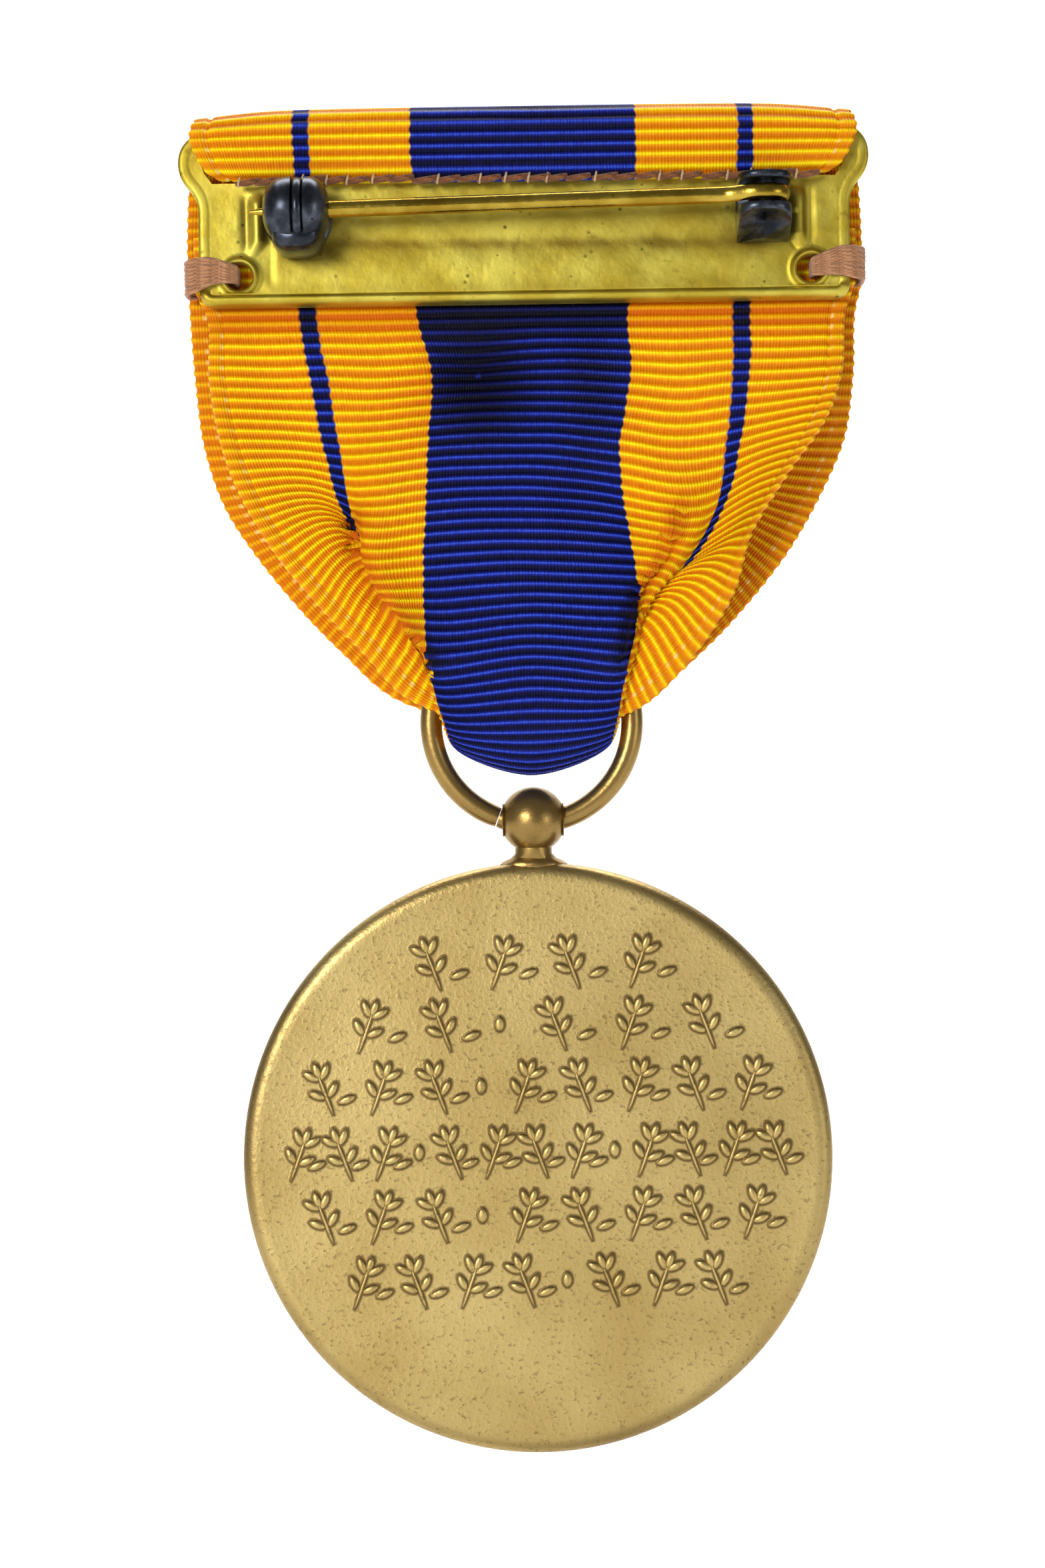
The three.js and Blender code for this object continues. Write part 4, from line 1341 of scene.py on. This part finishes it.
@dataclass
class Suspension:
    """The wire ring through the ribbon and the pierced ball with its neck."""

    ring_z: float = -27.4
    ring_radius: float = 5.41
    wire: float = 0.585
    y: float = 1.9
    butt: float = -1.92
    ball_z: float = -32.6
    ball: float = 1.78
    bore: float = 0.79
    neck: float = 1.2
    disc_top: float = -34.95

    def ring(self) -> bpy.types.Object:
        """Builds the ring: a round wire bent to a circle, its two sawn ends meeting at the butt."""
        a = self.butt + 0.004 + np.linspace(0, TAU - 0.008, 181)
        path = np.stack([self.ring_radius * np.cos(a), np.full(len(a), self.y),
                         self.ring_z + self.ring_radius * np.sin(a)], -1)
        path[:, 1] += 0.05 * np.sin(2 * a + 0.4)
        end = np.minimum(np.arange(181), np.arange(181)[::-1])
        radius = self.wire * (1 - 0.1 * np.exp(-end / 1.2))
        return Patchwork("ring_wire").shell(tube(path, radius, 24, (0, 1, 0))).build(sharp=50)

    def pierced(self) -> bpy.types.Object:
        """Builds the ball round its bore and the flared neck below it.

        The ball is a circle turned round the bore's axis, with a low lip where the bore comes out.
        """
        edge = math.asin((self.bore + 0.06) / self.ball)
        t = np.linspace(edge, math.pi - edge, 44)
        circle = np.stack([self.ball * np.sin(t), -self.ball * np.cos(t)], -1)
        end = math.sqrt(self.ball**2 - self.bore**2)
        lip = [(self.bore + 0.16, end + 0.03), (self.bore + 0.05, end + 0.06), (self.bore, end - 0.04)]
        profile = np.concatenate([[(r, -h) for r, h in lip[::-1]], circle, lip, [(self.bore, -end + 0.04)]])
        piece = Patchwork("pierced_ball").shell(turned(profile, (0, self.y, self.ball_z - 0.04), "x", 72))
        z = self.disc_top
        neck = np.array([(0.0, -34.0), (0.98, -34.0), (1.0, z + 0.5), (1.12, z + 0.26), (1.3, z + 0.1),
                         (1.36, z - 0.05), (1.3, z - 0.3), (0.0, z - 0.3)])
        grid = turned(neck, (0, self.y, 0), "z", 64)
        wide = 1 + 0.38 * step(z + 0.5, z - 0.2, grid[..., 2])
        grid[..., 0] *= wide
        grid[..., 1] = self.y + (grid[..., 1] - self.y) * np.where(grid[..., 2] < z + 0.3, 0.8, 1.0)
        turn = np.linspace(0, TAU, 65)
        grid[..., 2] += 0.05 * ripple(turn * 5, 31)[None] * step(z + 0.6, z + 0.1, grid[..., 2])
        piece.shell(grid)
        return piece.build(sharp=50)

    def dress(self, ring: bpy.types.Material, ball: bpy.types.Material) -> None:
        """Adds the ring and the ball to the scene."""
        settle(self.ring(), "ring", ring, ("suspension_ring",))
        settle(self.pierced(), "medal", ball, ("suspension_ball",))


@dataclass
class Disc:
    """The struck disc: a soft bevel, sprigs in rows on the back, and a wreath and star on the front."""

    z: float = -50.75
    y: float = 1.9
    radius: float = 15.8
    thick: float = 2.6
    field_depth: float = 0.05
    leaves: list[Array] = field(default_factory=list)

    def blank(self) -> bpy.types.Object:
        """Builds the disc itself by turning half its section round the Y axis."""
        h, r, d = self.thick / 2, self.radius, self.field_depth
        back = [(0.0, -h + d), (6.0, -h + d), (12.0, -h + d), (14.5, -h + d), (14.8, -h + d * 0.6),
                (15.05, -h + 0.02), (15.25, -h + 0.05), (15.45, -h + 0.13), (15.62, -h + 0.26),
                (15.75, -h + 0.46), (r, -h + 0.72)]
        profile = np.array(back + [(r, 0.0)] + [(a, -b) for a, b in back[::-1]])
        grid = turned(profile, (0, self.y, self.z), "y", 256)
        turn = np.linspace(0, TAU, 257)
        # Painted shade: the bevel round the edge is darkened through the shade attribute, varied a little
        # round the turn.
        rim = step(14.8, 15.6, np.abs(profile[:, 0]))[:, None] * (0.5 + 0.3 * ripple(turn * 3, 41))[None]
        return Patchwork("disc_blank").grid(grid, shade=np.clip(rim, 0, 1)).build(sharp=60)

    def leaf(
        self, x: float, z: float, length: float, width: float, angle: float, height: float, face: int = -1,
        belly: float = 0.5,
    ) -> None:
        """Adds a raised leaf to the ornament.

        The outline's half-width is W (1 - d^2)^0.75, where d is the distance from its widest place. Rings of
        that outline shrink from a thin skirt on the field up to the midrib, which the last ring folds shut.

        Args:
            x: the leaf's middle, across.
            z: the leaf's middle, up from the disc's.
            length: from stalk to tip.
            width: the widest part.
            angle: the turn from straight up, in radians.
            height: the midrib's height.
            face: -1 for the back, 1 for the front.
            belly: where along its length it is widest.
        """
        t = np.linspace(0, 1, 9)
        shape = np.clip(1 - ((t - belly) / np.where(t < belly, belly, 1 - belly)) ** 2, 0, 1) ** 0.75
        rings = np.array([[0.0, 0.0, -0.04, 0.0], [1.0, 0.15, -0.02, 0.0], [1.0, 0.15, 0.004, 0.0],
                          [1.0, 0.06, 0.012, 1.0], [1.0, 0.0, 0.02, 1.0], [0.88, 0.0, 0.6, 0.25],
                          [0.45, 0.0, 0.92, 0.0], [0.0, 0.0, 1.0, 0.0]])
        share, skirt, rise, dark = rings.T[:, :, None]
        half = shape * width / 2 * share + skirt
        half[0] = 0
        along = (t - 0.5) * (length * (1 - 0.12 * (1 - share)) + 2 * skirt)
        along[0] = 0
        top = np.where(rise > 0.1, height * rise * (0.15 + 0.85 * np.sqrt(shape)), rise)
        left, right = (np.stack([way * half, along, top], -1) for way in (-1, 1))
        ring = np.concatenate([left, right[:, ::-1], left[:, :1]], axis=1)
        s, c = math.sin(angle), math.cos(angle)
        shade = np.broadcast_to(dark, ring.shape[:2])
        self.leaves.append((self.lay(ring, x, z, s, c, face), shade))

    def lay(self, flat: Array, x: float, z: float, s: float, c: float, face: int) -> Array:
        """Turns a shape drawn flat (across, along, height) and sets it on a face of the disc."""
        across, along, height = np.moveaxis(flat, -1, 0)
        level = self.y + face * (self.thick / 2 - self.field_depth)
        up = self.z + z - across * s + along * c
        return np.stack([x + across * c + along * s, level + face * height, up], -1)

    def sprig(self, x: float, z: float, size: float, lean: float) -> None:
        """Adds a sprig to the back: a stalk, a leaf at its end and two pairs of leaves at its sides."""
        s, c = math.sin(lean), math.cos(lean)
        end, upper, lower = (0.52, 0.0, 0.42), (0.24, 0.75, 0.46), (-0.24, 0.85, 0.44)
        for along, turn, long in (end, upper, (0.24, -0.75, 0.46), lower, (-0.24, -0.85, 0.44)):
            a, out = lean + turn, 0.3 * abs(turn) ** 0.5
            px, pz = x + size * (along * s + out * math.sin(a)), z + size * (along * c + out * math.cos(a))
            self.leaf(px, pz, size * long, size * 0.2, a, 0.16)
        self.leaf(x - size * 0.1 * s, z - size * 0.1 * c, size * 1.1, size * 0.08, lean, 0.1)

    def reverse(self) -> None:
        """Adds the back's six centred rows of sprigs, parted by buds, in groups of two to five."""
        rows = ((10.55, 7.4, (4,)), (7.25, 11.0, (2, 3)), (3.95, 12.9, (3, 5)), (0.45, 13.9, (3, 4, 4)),
                (-2.95, 13.0, (3, 5)), (-6.45, 10.9, (4, 3)))
        for k, (z, half, groups) in enumerate(rows):
            count = sum(groups) + 0.55 * (len(groups) - 1)
            pitch = 2 * half / count
            x = -half + pitch / 2
            for n, group in enumerate(groups):
                for m in range(group):
                    lean = 0.35 if (m + n + k) % 2 else -0.35
                    self.sprig(x, z - 0.1, 2.15, lean)
                    self.leaf(x + pitch * 0.4, z - 0.62, 0.95, 0.4, 1.2, 0.12)
                    x += pitch
                if n < len(groups) - 1:
                    self.leaf(x - pitch * 0.22, z, 0.8, 0.5, 0.0, 0.12)
                x += 0.55 * pitch

    def obverse(self) -> None:
        """Adds the front's wreath, two rows of leaves up each side, and a star of five ridged points."""
        for side in Side:
            for k in range(17):
                a = math.radians(170 - 9.4 * k)
                for out, turn in ((0.6, 2.6), (-0.6, -2.6 + TAU)):
                    r, lean = 11.4 + out, side.value * (a + math.pi / 2 + turn)
                    self.leaf(side.value * r * math.sin(a), r * math.cos(a), 2.5, 1.0, lean, 0.3, 1)
        for k in range(5):
            a = TAU * k / 5
            self.leaf(3.3 * math.sin(a), 3.3 * math.cos(a), 6.6, 2.9, a, 0.5, 1, 0.34)

    def ornament(self, name: str) -> bpy.types.Object:
        """Builds the leaves gathered so far as a single mesh."""
        piece = Patchwork(name)
        for ring, shade in self.leaves:
            piece.shell(ring, shade=shade)
        self.leaves.clear()
        return piece.build(sharp=60)

    def dress(self, bronze: bpy.types.Material) -> None:
        """Adds the disc and its ornament to the scene."""
        settle(self.blank(), "medal", bronze, ("medal_disc",))
        self.reverse()
        settle(self.ornament("reverse_sprigs"), "medal", bronze)
        self.obverse()
        settle(self.ornament("obverse_wreath"), "medal", bronze)


# ---------------------------------------------------------------------------- stage


@dataclass
class Studio:
    """A pale sweep, soft lamps and the camera."""

    sky: float = 0.16
    target: Point = (0.0, 0.0, -0.03)
    distance: float = 158.0
    aim: tuple[float, float] = (-0.54, -30.7)
    view_height: float = 83.4
    roll: float = 0.0152

    def camera(self) -> None:
        """Sets the camera level in front of the brooch's back, turned a little round its line of sight."""
        data = bpy.data.cameras.new("camera")
        data.sensor_width = 36.0
        data.lens = 36.0 * self.distance / self.view_height
        data.clip_start, data.clip_end = 0.001, 10.0
        camera = bpy.data.objects.new("camera", data)
        right = np.array([1.0, 0.0, -self.roll])
        right /= np.linalg.norm(right)
        back = np.array([0.0, -1.0, 0.0])
        up = np.cross(back, right)
        pose = np.eye(4)
        pose[:3, :3] = np.stack([right, up, back], 1)
        pose[:3, 3] = np.array([self.aim[0], -self.distance, self.aim[1]]) * MM
        camera.matrix_world = Matrix(pose.tolist())
        bpy.context.scene.collection.objects.link(camera)
        bpy.context.scene.camera = camera

    def lamp(self, name: str, place: Point, target: Point, size: float, power: float) -> None:
        """Adds a square white lamp, its place and size in metres, turned towards a point."""
        data = bpy.data.lights.new(name, "AREA")
        data.energy, data.size = power, size
        lamp = bpy.data.objects.new(name, data)
        back = unit(np.array(place, float) - np.array(target, float))
        right = unit(np.cross(np.array([0.0, 0.02, 1.0]), back))
        pose = np.eye(4)
        pose[:3, :3] = np.stack([right, np.cross(back, right), back], 1)
        pose[:3, 3] = place
        lamp.matrix_world = Matrix(pose.tolist())
        bpy.context.scene.collection.objects.link(lamp)

    def sweep(self) -> None:
        """Adds the floor, which curves up into the backdrop: a line, a quarter circle and a line along X."""
        floor_z, wall_y, far, bend = -82.0, 420.0, 900.0, 160.0
        turn = np.linspace(0, math.pi / 2, 24)
        y = np.concatenate([[-far], wall_y - bend * (1 - np.sin(turn)), [wall_y]])
        z = np.concatenate([[floor_z], floor_z + bend * (1 - np.cos(turn)), [far]])
        x = np.array([-1100.0, 1100.0])
        grid = np.stack(np.broadcast_arrays(x[None], y[:, None], z[:, None]), -1)
        floor = Patchwork("floor").grid(grid).build(outward=False)
        paper = Recipe("pale_paper")
        cloud = paper.noise(3.0)
        tone = paper.mix(cloud, (246, 246, 246), (252, 252, 252))
        floor.data.materials.append(paper.finish(tone, 0.9))

    def build(self) -> None:
        """Adds everything that isn't the medal."""
        scene = bpy.context.scene
        scene.view_settings.view_transform = "Standard"
        world = bpy.data.worlds.new("studio")
        world.use_nodes = True
        sky = world.node_tree.nodes["Background"]
        sky.inputs["Color"].default_value = (1, 1, 1, 1)
        sky.inputs["Strength"].default_value = self.sky
        scene.world = world
        self.sweep()
        self.lamp("key", (-0.14, -0.46, -0.26), self.target, 0.22, 3.1)
        self.lamp("face", (-0.24, -0.44, 0.07), self.target, 0.16, 1.5)
        self.lamp("fill", (0.45, -0.4, 0.0), self.target, 0.2, 0.4)
        self.lamp("backdrop", (0.0, 0.32, 0.5), (0.0, 0.5, 0.0), 0.5, 6.0)
        self.camera()


def main() -> None:
    """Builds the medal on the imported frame, sub-assembly by sub-assembly."""
    logging.basicConfig(level=logging.INFO, format="%(name)s: %(message)s")
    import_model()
    brass = Brass("lacquered_brass").material()
    wire = Brass("brass_wire", (158, 128, 38), (200, 172, 70), (84, 56, 20), 0.14, 0.4, 0.3).material()
    steel = Blackened().material()
    bronze = Bronze("struck_bronze").material()
    aged = Bronze("aged_bronze", (138, 110, 58), (176, 146, 86), (70, 48, 24), 0.32, 0.5).material()
    Ribbon().dress()
    Plate().dress(brass)
    Catch().dress(steel)
    Hinge().dress(steel)
    Pin().dress(wire)
    buff = Thread("buff_thread", (212, 156, 112), (120, 72, 42)).material()
    brown = Thread("brown_thread", (158, 98, 56), (80, 42, 22)).material()
    Sewing().dress(buff, brown, Thread("cream_thread", (236, 214, 170), (190, 150, 100)).material())
    Suspension().dress(aged, aged)
    Disc().dress(bronze)
    Studio().build()


if __name__ == "__main__":
    main()
